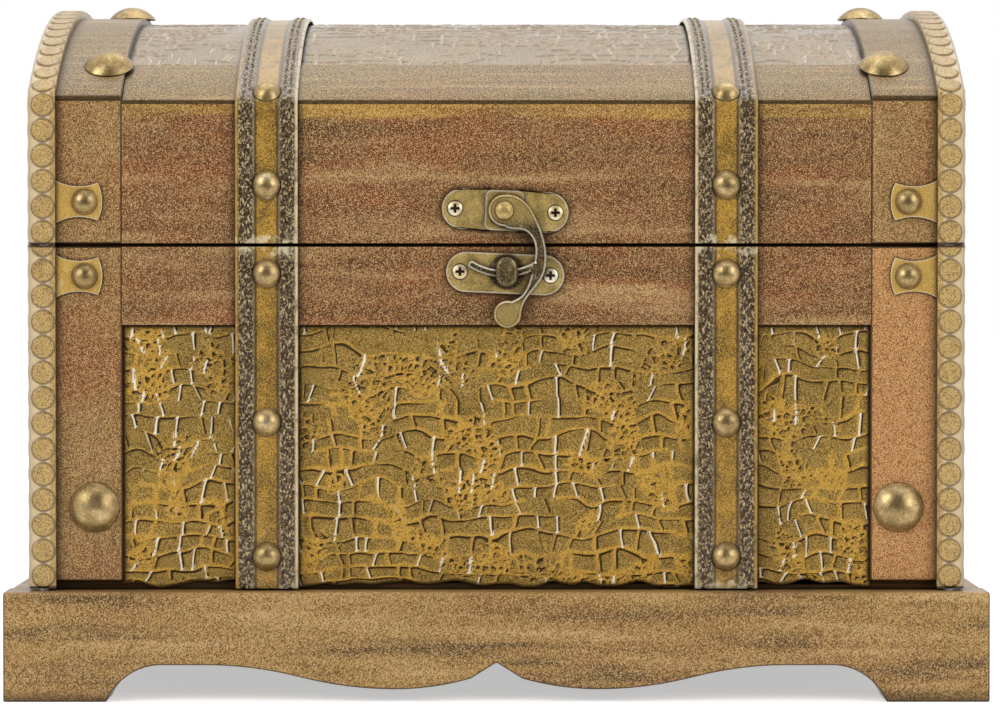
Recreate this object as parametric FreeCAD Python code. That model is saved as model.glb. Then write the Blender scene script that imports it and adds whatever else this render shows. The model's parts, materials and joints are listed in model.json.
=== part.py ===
import FreeCAD, Part
import math
import os

# Keepsake chest with a barrel lid, a scalloped plinth and a swing clasp.
# Millimetres. Origin at the centre of the footprint, +X to the right, +Y to the back, +Z up.

Vector = FreeCAD.Vector
UP = Vector(0, 0, 1)
FRONT = Vector(0, -1, 0)
BACK = Vector(0, 1, 0)
RIGHT = Vector(1, 0, 0)
full_turn = 360
quarter_turn = 90

# Whole chest
plinth_width = 220.0
plinth_depth = 150.0
plinth_height = 24.5
ledge = 5.0  # plinth top left bare outside the corner bindings
lid_line = 101.9  # height of the joint between body and lid
lid_side_height = 33.4  # lid line to the crease where the arch starts
lid_rise = 21.4  # crease to the crest of the arched end bands

# Carcass
board = 6.0
bottom_thickness = 4.0
skin_thickness = 3.0  # bent board over the lid

# Plinth outline
plinth_board = 12.0
foot_width = 23.0
arch_height = 8.2
cove_run = 11.5
lobe_height = 2.8
flank_height = 5.2
cusp_height = 8.8
plinth_edge_round = 1.2
cove_bulge_shares = (0.31, 0.6)
flat_run_share = 0.12
lobe_place_share = 0.26
flank_place_share = 0.066

# Cladding on the carcass
cladding = 2.0
leather = 1.0
stile_show = 14.8  # stile left in view beside the binding
rail_height = 17.5
stile_lift = 2.0  # stile foot above the plinth
skirt_gap = 0.4  # leather, straps and bindings above the plinth
lid_gap = 0.4  # cladding held back on each side of the lid line
crown_rail = 1.2
crown_rail_run = 14.5
crown_lip = 0.7  # lip of a bent board over the upright board below it
crown_leather = 0.7
crown_seam = 0.2  # joint under the end bands

# Corner bindings
binding_proud = 2.0
binding_width = 6.2
binding_corner_round = 1.3
binding_edge_round = 0.8

# Straps
strap_inset = 32.5  # middle of a strap in from the stile
strap_width = 14.0
strap_thickness = 1.2
strap_border = 4.1
strap_border_rise = 0.4
crown_strap = 0.5  # middle of a strap above the crown rail

# Studs and dome nails
strap_stud_diameter = 6.5
strap_stud_height = 2.2
strap_stud_clearance = 0.1  # border pressed down round a stud
bracket_stud_diameter = 5.8
bracket_stud_height = 1.9
dome_diameter = 11.2
dome_height = 3.0
lid_stud_rise = 13.4  # above the lid line
top_stud_drop = 6.4  # below the lid line
foot_stud_rise = 7.5  # above the plinth
crease_stud_setback = 1.6  # behind the crease, over the arch
middle_stud_share = 0.475
dome_inset = 14.7  # dome nail in from the outer corner
body_dome_rise = 18.5  # above the plinth
band_dome_inset = 17.0
band_dome_setback = 12.0  # behind the crease

# Corner brackets
bracket_thickness = 0.6
bracket_reach = 15.3
bracket_height = 9.6
bracket_waist = 6.9
bracket_tip = 8.5
bracket_tip_bulge = 1.0
bracket_waist_place = 9.4
bracket_stud_place = 11.3
lid_bracket_rise = 9.7
body_bracket_drop = 7.0

# Clasp on the front
clasp_x = 1.75
pivot_rise = 7.7  # pivot above the lid line
clasp_tilt = 2.5  # degrees, plates screwed on a little out of level
plate_thickness = 1.0
plate_height = 9.0
plate_shift = 0.2
hasp_plate_length = 28.4
catch_plate_length = 26.5
hasp_screw_spread = 22.5
catch_screw_spread = 20.3
pad_width = 8.6  # raised pad that the arm turns on
pad_height = 0.7
pad_corner_round = 1.4
arm_thickness = 1.4
arm_clearance = 0.1
arm_boss_radius = 3.5
rivet_radius = 1.2
rivet_head_radius = 2.0
rivet_head_height = 0.9
pivot_clearance = 0.05
horn_radius = 14.1  # pivot to the middle of the curved horn
horn_width = 1.6
horn_swing = 31.0  # degrees of horn to the left of the pivot
horn_root = 34.0  # degrees of horn to the right of the pivot
knob_drop = 23.2
knob_shift = 0.7
knob_radius = 3.0
blade_outer_shares = (
    (0.29, 0.165),
    (0.52, -0.17),
    (0.65, -0.575),
    (0.60, -1.06),
    (0.455, -1.26),
    (0.32, -1.45),
    (0.262, -1.645),
)
blade_inner_shares = (
    (-0.02, -1.52),
    (0.12, -1.44),
    (0.25, -1.37),
    (0.395, -1.14),
    (0.43, -1.02),
    (0.48, -0.8),
    (0.497, -0.64),
    (0.436, -0.42),
    (0.31, -0.314),
    (0.12, -0.294),
)
eye_shift = 0.55
eye_raise = 0.4  # eye above the middle of its plate
eye_width = 4.7
eye_height = 6.7
eye_stand = 4.3
eye_round = 0.9
eye_clearance = 0.4
collar_radius = 3.9
collar_height = 0.3

# Screws
screw_head_diameter = 3.8
screw_head_height = 0.5
screw_radius = 0.9
screw_clearance = 0.1
slot_width = 0.6
slot_depth = 0.4
slot_length_share = 0.52

# Hinges on the back
hinge_inset = 12.5  # middle of a hinge in from the stile
hinge_width = 18.0
leaf_height = 9.5
leaf_thickness = 1.0
barrel_radius = 2.1
barrel_standoff = 2.4  # axis behind the cladding
knuckle_count = 3
knuckle_gap = 0.2
leaf_relief = 0.4
pin_radius = 1.0
pin_clearance = 0.05
hinge_screw_place = 5.5
hinge_screw_drop = 6.2

overrun = 5.0  # how far every cutting tool runs past the piece
tolerance = 0.001  # two places closer than this are the same

# Planes that the layers share
binding_x = plinth_width / 2 - ledge
binding_y = plinth_depth / 2 - ledge
face_x = binding_x - binding_proud
face_y = binding_y - binding_proud
carcass_x = face_x - cladding
carcass_y = face_y - cladding
inner_x = carcass_x - board
inner_y = carcass_y - board
stile_x = binding_x - binding_width - stile_show
stile_y = binding_y - binding_width - stile_show
strap_centre = stile_x - strap_inset
hinge_offset = stile_x - hinge_inset
floor_top = plinth_height + bottom_thickness
body_top = lid_line - lid_gap
lid_foot = lid_line + lid_gap
rail_foot = body_top - rail_height
skirt_top = plinth_height + skirt_gap

# Circles of the lid arch, all about one axis along X
band_radius = (face_y ** 2 + lid_rise ** 2) / (2 * lid_rise)
arch_z = lid_line + lid_side_height + lid_rise - band_radius
skin_outer = band_radius - cladding
skin_inner = skin_outer - skin_thickness
crown_rail_radius = skin_outer + crown_rail
crown_leather_radius = skin_outer + crown_leather
strap_radius = crown_rail_radius + crown_strap
binding_radius = band_radius + binding_proud
crown_rail_edge = face_y - crown_rail_run

# Clasp layers, counted out from the cladding
pivot_z = lid_line + pivot_rise
plate_face = face_y + plate_thickness
pad_face = plate_face + pad_height
arm_back = pad_face + arm_clearance
arm_front = arm_back + arm_thickness
eye_x = clasp_x + eye_shift
catch_z = pivot_z - horn_radius
eye_z = catch_z + eye_raise
hinge_y = face_y + barrel_standoff
plate_x = clasp_x + plate_shift
body_bracket_z = lid_line - body_bracket_drop
lid_bracket_z = lid_line + lid_bracket_rise


def save(name, shape):
    shape.exportStep("parts/" + name + ".step")


def block(x0, x1, y0, y1, z0, z1):
    return Part.makeBox(x1 - x0, y1 - y0, z1 - z0, Vector(x0, y0, z0))


def flip_x(shape):
    return shape.mirror(Vector(0, 0, 0), Vector(1, 0, 0))


def flip_y(shape):
    return shape.mirror(Vector(0, 0, 0), Vector(0, 1, 0))


def pair_x(shape):
    return [shape, flip_x(shape)]


def pair_y(shape):
    return [shape, flip_y(shape)]


def all_corners(shape):
    return pair_x(shape) + pair_x(flip_y(shape))


def line(start, end):
    return Part.LineSegment(start, end).toShape()


def arc(start, middle, end):
    return Part.Arc(start, middle, end).toShape()


def group(shapes):
    return Part.makeCompound(shapes)


def prism(edges, run):
    return Part.Face(Part.Wire(edges)).extrude(run)


def disc(radius, centre, run):
    return Part.makeCylinder(radius, run.Length, centre, run)


# The arch

def arch_point(radius, y, x):
    return Vector(x, y, arch_z + math.sqrt(radius ** 2 - y ** 2))


def arch_arc(radius, y0, y1, x):
    middle = arch_point(radius, (y0 + y1) / 2, x)
    return arc(arch_point(radius, y0, x), middle, arch_point(radius, y1, x))


def arch_slab(inner, outer, y0, y1, x0, x1):
    """A bent board between two circles of the arch."""
    edges = [
        arch_arc(outer, y0, y1, x0),
        line(arch_point(outer, y1, x0), arch_point(inner, y1, x0)),
        arch_arc(inner, y1, y0, x0),
        line(arch_point(inner, y0, x0), arch_point(outer, y0, x0)),
    ]
    return prism(edges, Vector(x1 - x0, 0, 0))


def arch_topped(y0, y1, z0, radius, x0, x1):
    """An upright board whose top follows a circle of the arch."""
    foot_front = Vector(x0, y0, z0)
    foot_back = Vector(x0, y1, z0)
    edges = [
        line(foot_front, foot_back),
        line(foot_back, arch_point(radius, y1, x0)),
        arch_arc(radius, y1, y0, x0),
        line(arch_point(radius, y0, x0), foot_front),
    ]
    return prism(edges, Vector(x1 - x0, 0, 0))


# Carcass of the body

def body_carcass():
    save("bottom_board", block(-carcass_x, carcass_x, -carcass_y, carcass_y, plinth_height, floor_top))
    front = block(-carcass_x, carcass_x, -carcass_y, -inner_y, floor_top, lid_line)
    save("front_board", front)
    save("back_board", flip_y(front))
    end = block(inner_x, carcass_x, -inner_y, inner_y, floor_top, lid_line)
    save("right_end_board", end)
    save("left_end_board", flip_x(end))


# Plinth with its scalloped skirt

def level_arc(start, end):
    """Arc that leaves start level and ends at end, both in the XZ plane."""
    run = end.x - start.x
    rise = end.z - start.z
    radius = (run ** 2 + rise ** 2) / (2 * abs(rise))
    half_turn = math.atan2(abs(rise), abs(run))
    across = math.copysign(radius * math.sin(half_turn), run)
    along = math.copysign(radius * (1 - math.cos(half_turn)), rise)
    return arc(start, Vector(start.x + across, start.y, start.z + along), end)


def half_skirt(half_span, side, y):
    """Edges of the skirt from a foot to the middle cusp."""
    cove_end = half_span - cove_run
    flat_end = cove_end - flat_run_share * half_span
    foot = Vector(side * half_span, y, 0)
    cove_middle = Vector(
        side * (half_span - cove_bulge_shares[0] * cove_run), y, cove_bulge_shares[1] * arch_height
    )
    cove_top = Vector(side * cove_end, y, arch_height)
    ogee_top = Vector(side * flat_end, y, arch_height)
    lobe = Vector(side * lobe_place_share * half_span, y, lobe_height)
    bend = (ogee_top + lobe) / 2
    flank = Vector(side * flank_place_share * half_span, y, flank_height)
    cusp = Vector(0, y, cusp_height)
    return [
        arc(foot, cove_middle, cove_top),
        line(cove_top, ogee_top),
        level_arc(ogee_top, bend),
        level_arc(lobe, bend),
        level_arc(lobe, flank),
        line(flank, cusp),
    ]


def skirt_board(length, foot, outer_y):
    """A plinth board along X, outer face at -outer_y."""
    half = length / 2
    half_span = half - foot
    y = -outer_y
    low = [Vector(side * half, y, 0) for side in (-1, 1)]
    high = [Vector(side * half, y, plinth_height) for side in (-1, 1)]
    left = half_skirt(half_span, -1, y)
    right = half_skirt(half_span, 1, y)
    edges = [line(low[0], Vector(-half_span, y, 0))] + left
    edges += right[::-1] + [line(Vector(half_span, y, 0), low[1])]
    edges += [line(low[1], high[1]), line(high[1], high[0]), line(high[0], low[0])]
    return prism(edges, Vector(0, plinth_board, 0))


def round_edges(shape, radius, chosen):
    return shape.makeFillet(radius, [edge for edge in shape.Edges if chosen(edge.CenterOfMass)])


def near(a, b):
    return abs(a - b) < tolerance


def plinth():
    front = skirt_board(plinth_width, foot_width, plinth_depth / 2)
    front = round_edges(
        front,
        plinth_edge_round,
        lambda middle: near(middle.z, plinth_height) and near(middle.y, -plinth_depth / 2),
    )
    save("plinth_front", front)
    save("plinth_back", flip_y(front))
    side = skirt_board(plinth_depth - 2 * plinth_board, foot_width - plinth_board, plinth_width / 2)
    side = round_edges(
        side,
        plinth_edge_round,
        lambda middle: near(middle.z, plinth_height) and near(middle.y, -plinth_width / 2),
    )
    right = side.rotated(Vector(0, 0, 0), UP, quarter_turn)
    save("plinth_right", right)
    save("plinth_left", flip_x(right))


# Cladding of the body

def body_cladding():
    stile_foot = plinth_height + stile_lift
    front_stile = block(stile_x, face_x, -face_y, -carcass_y, stile_foot, body_top)
    front_rail = block(-stile_x, stile_x, -face_y, -carcass_y, rail_foot, body_top)
    front_leather = block(-stile_x, stile_x, -carcass_y - leather, -carcass_y, skirt_top, rail_foot)
    save("front_stiles", group(pair_x(front_stile)))
    save("back_stiles", group(pair_x(flip_y(front_stile))))
    save("front_rail", front_rail.cut(group(screw_holes("catch"))))
    save("back_rail", flip_y(front_rail).cut(group(screw_holes("hinge_body"))))
    save("front_leather", front_leather)
    save("back_leather", flip_y(front_leather))
    end_stile = block(carcass_x, face_x, -carcass_y, -stile_y, stile_foot, body_top)
    end_rail = block(carcass_x, face_x, -stile_y, stile_y, rail_foot, body_top)
    end_leather = block(carcass_x, carcass_x + leather, -stile_y, stile_y, skirt_top, rail_foot)
    save("end_stiles", group(all_corners(end_stile)))
    save("end_rails", group(pair_x(end_rail)))
    save("end_leathers", group(pair_x(end_leather)))


# Lid: carcass, cladding and arched pieces

def lid_carcass():
    front = arch_topped(-carcass_y, -inner_y, lid_line, skin_inner, -carcass_x, carcass_x)
    save("lid_front_board", front)
    save("lid_back_board", flip_y(front))
    end = arch_topped(-inner_y, inner_y, lid_line, skin_inner, inner_x, carcass_x)
    save("lid_right_end", end)
    save("lid_left_end", flip_x(end))
    save("lid_top_skin", arch_slab(skin_inner, skin_outer, -carcass_y, carcass_y, -carcass_x, carcass_x))


def front_panel():
    """The lid's front panel, which goes up under the lip of the crown rail."""
    return arch_topped(-face_y, -carcass_y, lid_foot, crown_rail_radius - crown_lip, -stile_x, stile_x)


def crown_rails():
    rail = arch_slab(skin_outer, crown_rail_radius, -face_y, -crown_rail_edge, -stile_x, stile_x)
    return pair_y(rail.cut(front_panel()))


def bent_leather():
    return arch_slab(
        skin_outer, crown_leather_radius, -crown_rail_edge, crown_rail_edge, -stile_x, stile_x
    )


def lid_cladding():
    panel = front_panel()
    save("lid_front_panel", panel.cut(group(screw_holes("hasp"))))
    save("lid_back_panel", flip_y(panel).cut(group(screw_holes("hinge_lid"))))
    stile = arch_topped(-face_y, -carcass_y, lid_foot, band_radius - crown_lip, stile_x, face_x)
    save("lid_stiles", group(all_corners(stile)))
    end_panel = arch_topped(-carcass_y, carcass_y, lid_foot, skin_outer - crown_seam, carcass_x, face_x)
    save("lid_end_panels", group(pair_x(end_panel)))
    band = arch_slab(skin_outer, band_radius, -face_y, face_y, stile_x, face_x)
    band = band.cut(group(pair_y(stile)))
    save("lid_band_right", band)
    save("lid_band_left", flip_x(band))
    save("lid_crown_rails", group(crown_rails()))
    save("lid_leather", bent_leather())


# Corner brackets: bow-tie tabs that pass under the binding

def bracket_tab(place, thickness_run):
    """One tab; place turns a distance in from the corner and a height into a point."""
    edge = bracket_thickness + binding_width - binding_proud
    neck = bracket_reach - bracket_tip_bulge
    root = [place(0, side * bracket_height / 2) for side in (-1, 1)]
    shoulder = [place(edge, side * bracket_height / 2) for side in (-1, 1)]
    waist = [place(bracket_waist_place, side * bracket_waist / 2) for side in (-1, 1)]
    tip = [place(neck, side * bracket_tip / 2) for side in (-1, 1)]
    edges = [
        line(root[0], shoulder[0]),
        arc(shoulder[0], waist[0], tip[0]),
        arc(tip[0], place(bracket_reach, 0), tip[1]),
        arc(tip[1], waist[1], shoulder[1]),
        line(shoulder[1], root[1]),
        line(root[1], root[0]),
    ]
    return prism(edges, thickness_run)


def bracket(z):
    """Bracket round the front right corner."""
    corner_x = face_x + bracket_thickness
    corner_y = face_y + bracket_thickness
    front = bracket_tab(lambda u, v: Vector(corner_x - u, -face_y, z + v), Vector(0, -bracket_thickness, 0))
    side = bracket_tab(lambda u, v: Vector(face_x, u - corner_y, z + v), Vector(bracket_thickness, 0, 0))
    return front.fuse(side).removeSplitter()


def bracket_studs(z):
    """The two studs of the front right bracket."""
    across = face_x + bracket_thickness
    out = face_y + bracket_thickness
    front = Vector(across - bracket_stud_place, -out, z)
    side = Vector(across, bracket_stud_place - out, z)
    return [
        dome(bracket_stud_diameter, bracket_stud_height, front, FRONT),
        dome(bracket_stud_diameter, bracket_stud_height, side, RIGHT),
    ]


def brackets():
    save("body_corner_brackets", group(all_corners(bracket(body_bracket_z))))
    save("lid_corner_brackets", group(all_corners(bracket(lid_bracket_z))))


# Bindings round the corners and over the lid's ends

def body_bindings():
    outline = [
        Vector(binding_x, -binding_y, skirt_top),
        Vector(binding_x, binding_width - binding_y, skirt_top),
        Vector(face_x, binding_width - binding_y, skirt_top),
        Vector(face_x, -face_y, skirt_top),
        Vector(binding_x - binding_width, -face_y, skirt_top),
        Vector(binding_x - binding_width, -binding_y, skirt_top),
    ]
    edges = [line(outline[i - 1], outline[i]) for i in range(len(outline))]
    strip = prism(edges, Vector(0, 0, body_top - skirt_top))
    middle = (skirt_top + body_top) / 2

    def outer_corner(point):
        return near(point.z, middle) and near(point.x, binding_x) and near(point.y, -binding_y)

    def outer_edges(point):
        on_front = near(point.x, binding_x - binding_width) and near(point.y, -binding_y)
        on_side = near(point.x, binding_x) and near(point.y, binding_width - binding_y)
        return near(point.z, middle) and (on_front or on_side)

    strip = round_edges(strip, binding_corner_round, outer_corner)
    strip = round_edges(strip, binding_edge_round, outer_edges)
    strip = strip.cut(bracket(body_bracket_z))
    save("binding_front_right", strip)
    save("binding_front_left", flip_x(strip))
    save("binding_back_right", flip_y(strip))
    save("binding_back_left", flip_x(flip_y(strip)))


def lid_bindings():
    inner_edge = binding_x - binding_width
    hoop = arch_topped(-binding_y, binding_y, lid_foot, binding_radius, inner_edge, binding_x)
    low = lid_foot - overrun
    core = arch_topped(-face_y, face_y, low, band_radius, inner_edge - overrun, face_x)
    window_y = binding_y - binding_width
    window_radius = binding_radius - binding_width
    window = arch_topped(-window_y, window_y, low, window_radius, face_x, binding_x + overrun)
    hoop = hoop.cut(core).cut(window)

    def outer_rim(point):
        return near(point.x, binding_x) and point.z > lid_foot + tolerance and on_outer_face(point)

    def on_outer_face(point):
        from_axis = math.hypot(point.y, point.z - arch_z)
        return near(abs(point.y), binding_y) or from_axis > binding_radius - binding_proud

    hoop = round_edges(hoop, binding_edge_round, outer_rim)
    hoop = hoop.cut(group(pair_y(bracket(lid_bracket_z))))
    save("lid_binding_right", hoop)
    save("lid_binding_left", flip_x(hoop))


# Straps

def strap_layers():
    """Left, right and rise of the strap's middle and its two raised borders."""
    left = strap_centre - strap_width / 2
    right = strap_centre + strap_width / 2
    return [
        (left, left + strap_border, strap_border_rise),
        (left + strap_border, right - strap_border, 0),
        (right - strap_border, right, strap_border_rise),
    ]


def body_strap_seats():
    """Place and facing of each stud on the front right strap of the body."""
    top = lid_line - top_stud_drop
    foot = plinth_height + foot_stud_rise
    heights = (top, foot + middle_stud_share * (top - foot), foot)
    return [(Vector(strap_centre, -face_y - strap_thickness, z), FRONT) for z in heights]


def lid_strap_seats():
    """Place and facing of each stud on the front half of the right lid strap."""
    crease_y = crease_stud_setback - face_y
    crease_facing = Vector(0, crease_y, math.sqrt(strap_radius ** 2 - crease_y ** 2))
    return [
        (Vector(strap_centre, -face_y - strap_thickness, lid_line + lid_stud_rise), FRONT),
        (arch_point(strap_radius, crease_y, strap_centre), crease_facing.normalize()),
    ]


def stud_pockets(seats):
    radius = strap_stud_diameter / 2 + strap_stud_clearance
    return [disc(radius, place, facing * overrun) for place, facing in seats]


def straps():
    front_layers = []
    lid_layers = []
    for left, right, rise in strap_layers():
        out = face_y + strap_thickness + rise
        front_layers.append(block(left, right, -out, -carcass_y - leather, skirt_top, body_top))
        lid_layers.append(arch_topped(-out, out, lid_foot, strap_radius + rise, left, right))
    low = lid_foot - overrun
    wide = (strap_centre - strap_width, strap_centre + strap_width)
    core = arch_topped(-face_y, face_y, low, crown_leather_radius, *wide)
    front = front_layers[0].multiFuse(front_layers[1:])
    front = front.cut(block(*wide, -face_y, -carcass_y, rail_foot, lid_line))
    front = front.cut(group(stud_pockets(body_strap_seats()))).removeSplitter()
    over = lid_layers[0].multiFuse(lid_layers[1:])
    over = over.cut(core).cut(group(crown_rails()))
    lid_pockets = stud_pockets(lid_strap_seats())
    lid_pockets += [flip_y(pocket) for pocket in lid_pockets]
    over = over.cut(group(lid_pockets)).removeSplitter()
    save("strap_front_right", front)
    save("strap_front_left", flip_x(front))
    save("strap_back_right", flip_y(front))
    save("strap_back_left", flip_x(flip_y(front)))
    save("lid_strap_right", over)
    save("lid_strap_left", flip_x(over))


# Studs and dome nails

def dome(diameter, height, place, normal):
    """Low domed head that sits on its flat base at place and points along normal."""
    radius = diameter / 2
    ball = (radius ** 2 + height ** 2) / (2 * height)
    half_turn = math.asin(radius / ball) / 2
    shoulder = Vector(ball * math.sin(half_turn), 0, height - ball + ball * math.cos(half_turn))
    rim = Vector(radius, 0, 0)
    crown = Vector(0, 0, height)
    centre = Vector(0, 0, 0)
    half = Part.Face(Part.Wire([line(centre, rim), arc(rim, shoulder, crown), line(crown, centre)]))
    head = half.revolve(centre, UP, full_turn)
    head.Placement = FreeCAD.Placement(place, FreeCAD.Rotation(UP, normal))
    return head


def studs():
    places = (
        ("body_studs", body_strap_seats(), body_bracket_z),
        ("lid_studs", lid_strap_seats(), lid_bracket_z),
    )
    for name, seats, bracket_z in places:
        made = [dome(strap_stud_diameter, strap_stud_height, place, facing) for place, facing in seats]
        made += bracket_studs(bracket_z)
        save(name, group([copy for stud in made for copy in all_corners(stud)]))


def dome_nails():
    z = plinth_height + body_dome_rise
    front = dome(dome_diameter, dome_height, Vector(binding_x - dome_inset, -face_y, z), FRONT)
    side = dome(dome_diameter, dome_height, Vector(face_x, dome_inset - binding_y, z), RIGHT)
    save("body_dome_nails", group(all_corners(front) + all_corners(side)))
    across = binding_x - band_dome_inset
    lid = []
    for y in (band_dome_setback - face_y, 0, face_y - band_dome_setback):
        seat = arch_point(band_radius, y, across)
        facing = seat - Vector(across, 0, arch_z)
        lid += pair_x(dome(dome_diameter, dome_height, seat, facing))
    save("lid_dome_nails", group(lid))


# Clasp: plate, horn arm and rivet on the lid, plate and eye on the body

def stadium(length, height, x, z, front, run):
    """Round-ended plate, long way across, standing on the face at y = -front."""
    reach = (length - height) / 2
    radius = height / 2
    y = -front
    edges = [
        line(Vector(x - reach, y, z + radius), Vector(x + reach, y, z + radius)),
        arc(
            Vector(x + reach, y, z + radius), Vector(x + length / 2, y, z), Vector(x + reach, y, z - radius)
        ),
        line(Vector(x + reach, y, z - radius), Vector(x - reach, y, z - radius)),
        arc(
            Vector(x - reach, y, z - radius), Vector(x - length / 2, y, z), Vector(x - reach, y, z + radius)
        ),
    ]
    return prism(edges, Vector(0, -run, 0))


def tilted(shape, z):
    return shape.rotated(Vector(plate_x, 0, z), BACK, clasp_tilt)


def screw(place, normal, grip):
    """Round-head screw whose head sits at place; grip is the shank behind the head."""
    head = dome(screw_head_diameter, screw_head_height, Vector(0, 0, 0), UP)
    shank = Part.makeCylinder(screw_radius, grip, Vector(0, 0, -grip))
    reach = slot_length_share * screw_head_diameter / 2
    floor = screw_head_height - slot_depth
    half = slot_width / 2
    cross = [
        block(-reach, reach, -half, half, floor, screw_head_height),
        block(-half, half, -reach, reach, floor, screw_head_height),
    ]
    made = head.fuse(shank).cut(group(cross)).removeSplitter()
    made.Placement = FreeCAD.Placement(place, FreeCAD.Rotation(UP, normal))
    return made


def screw_places(kind):
    """Where each screw's head sits, the way it faces and its grip."""
    spread = {"hasp": hasp_screw_spread, "catch": catch_screw_spread}
    height = {"hasp": pivot_z, "catch": catch_z}
    turn = math.radians(clasp_tilt)
    places = []
    if kind in spread:
        for side in (-1, 1):
            out = side * spread[kind] / 2
            place = Vector(plate_x + out * math.cos(turn), -plate_face, height[kind] - out * math.sin(turn))
            places.append((place, FRONT, plate_thickness + cladding))
        return places
    way = -1 if kind == "hinge_body" else 1
    z = lid_line + way * hinge_screw_drop
    for side in (-1, 1):
        for end in (-1, 1):
            x = side * hinge_offset + end * hinge_screw_place
            places.append((Vector(x, face_y + leaf_thickness, z), BACK, leaf_thickness + cladding))
    return places


def screws(kind):
    return [screw(*place) for place in screw_places(kind)]


def screw_holes(kind):
    return [
        disc(screw_radius + screw_clearance, place + normal * overrun, normal * -(grip + overrun))
        for place, normal, grip in screw_places(kind)
    ]


def at_pivot(shares):
    across, up = shares
    return Vector(clasp_x + across * horn_radius, -arm_back, pivot_z + up * horn_radius)


def curve(points):
    spline = Part.BSplineCurve()
    spline.interpolate(points)
    return spline.toShape()


def horn_point(radius, degrees):
    """Point of the horn, degrees to the right of straight under the pivot."""
    turn = math.radians(degrees)
    return Vector(clasp_x + radius * math.sin(turn), -arm_back, pivot_z - radius * math.cos(turn))


def horn(run):
    """Curved horn about the pivot, round at its tip."""
    inner = horn_radius - horn_width / 2
    outer = horn_radius + horn_width / 2
    nose = -horn_swing - math.degrees(horn_width / 2 / horn_radius)
    middle = (horn_root - horn_swing) / 2
    edges = [
        arc(horn_point(inner, horn_root), horn_point(inner, middle), horn_point(inner, -horn_swing)),
        arc(horn_point(inner, -horn_swing), horn_point(horn_radius, nose), horn_point(outer, -horn_swing)),
        arc(horn_point(outer, -horn_swing), horn_point(outer, middle), horn_point(outer, horn_root)),
        line(horn_point(outer, horn_root), horn_point(inner, horn_root)),
    ]
    return prism(edges, run)


def hasp_arm():
    run = Vector(0, -arm_thickness, 0)
    pivot = Vector(clasp_x, -arm_back, pivot_z)
    boss_top = pivot + UP * arm_boss_radius
    boss_foot = pivot - UP * arm_boss_radius
    outer = [boss_top] + [at_pivot(pair) for pair in blade_outer_shares]
    inner = [at_pivot(pair) for pair in blade_inner_shares] + [boss_foot]
    edges = [curve(outer), line(outer[-1], inner[0]), curve(inner), line(boss_foot, boss_top)]
    blade = prism(edges, run)
    boss = disc(arm_boss_radius, pivot, run)
    knob = disc(knob_radius, Vector(clasp_x + knob_shift, -arm_back, pivot_z - knob_drop), run)
    arm = blade.multiFuse([boss, knob, horn(run)])
    bore = disc(rivet_radius + pivot_clearance, pivot + BACK * overrun, BACK * -(2 * overrun))
    save("hasp_arm", arm.cut(bore).removeSplitter())


def hasp():
    pivot = Vector(clasp_x, -face_y, pivot_z)
    plate = stadium(hasp_plate_length, plate_height, plate_x, pivot_z, face_y, plate_thickness)
    plate = tilted(plate, pivot_z)
    half = pad_width / 2
    half_height = plate_height / 2
    pad = block(
        clasp_x - half, clasp_x + half, -pad_face, -plate_face, pivot_z - half_height, pivot_z + half_height
    )
    pad_middle = (pad_face + plate_face) / 2
    pad = round_edges(pad, pad_corner_round, lambda middle: near(middle.y, -pad_middle))
    pad = tilted(pad, pivot_z)
    hole = disc(rivet_radius + pivot_clearance, pivot + BACK * overrun, BACK * -(2 * overrun))
    plate = plate.fuse(pad).cut(hole).cut(group(screw_holes("hasp"))).removeSplitter()
    save("hasp_plate", plate)
    head_back = arm_front + arm_clearance
    shank = disc(rivet_radius, pivot, FRONT * (head_back - face_y))
    head = dome(2 * rivet_head_radius, rivet_head_height, Vector(clasp_x, -head_back, pivot_z), FRONT)
    save("hasp_rivet", shank.fuse(head).removeSplitter())


def catch():
    plate = stadium(catch_plate_length, plate_height, plate_x, catch_z, face_y, plate_thickness)
    plate = tilted(plate, catch_z)
    save("catch_plate", plate.cut(group(screw_holes("catch"))))
    post = stadium(eye_height, eye_width, eye_x, eye_z, plate_face, eye_stand)
    post = post.rotated(Vector(eye_x, 0, eye_z), BACK, quarter_turn)
    front = -plate_face - eye_stand
    post = round_edges(post, eye_round, lambda middle: near(middle.y, front))
    collar = disc(collar_radius, Vector(eye_x, -plate_face, eye_z), FRONT * collar_height)
    reach = eye_width / 2 + eye_shift
    crown = math.sqrt((horn_radius - horn_width / 2) ** 2 - reach ** 2)
    slot = block(
        eye_x - eye_width,
        eye_x + eye_width,
        -arm_front - eye_clearance,
        -arm_back + eye_clearance,
        pivot_z - horn_radius - horn_width / 2 - eye_clearance,
        pivot_z - crown + eye_clearance,
    )
    save("catch_eye", post.fuse(collar).cut(slot).removeSplitter())


# Hinges: two leaves, three knuckles and a pin each

def knuckle(x0, x1, way):
    """A knuckle with the web that ties it to its leaf; way is 1 for up, -1 for down."""
    barrel = disc(barrel_radius, Vector(x0, hinge_y, lid_line), Vector(x1 - x0, 0, 0))
    low, high = sorted((lid_line, lid_line + way * (barrel_radius + leaf_relief)))
    web = block(x0, x1, face_y, face_y + leaf_thickness, low, high)
    return barrel.fuse(web)


def leaf(centre, way, segments):
    near_edge = lid_line + way * (barrel_radius + leaf_relief)
    low, high = sorted((near_edge, lid_line + way * leaf_height))
    plate = block(
        centre - hinge_width / 2, centre + hinge_width / 2, face_y, face_y + leaf_thickness, low, high
    )
    knuckles = [knuckle(centre + x0, centre + x1, way) for x0, x1 in segments]
    bore = disc(
        pin_radius + pin_clearance,
        Vector(centre - hinge_width, hinge_y, lid_line),
        Vector(2 * hinge_width, 0, 0),
    )
    kind = "hinge_body" if way < 0 else "hinge_lid"
    made = plate.multiFuse(knuckles).cut(bore).cut(group(screw_holes(kind)))
    return made.removeSplitter()


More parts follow.
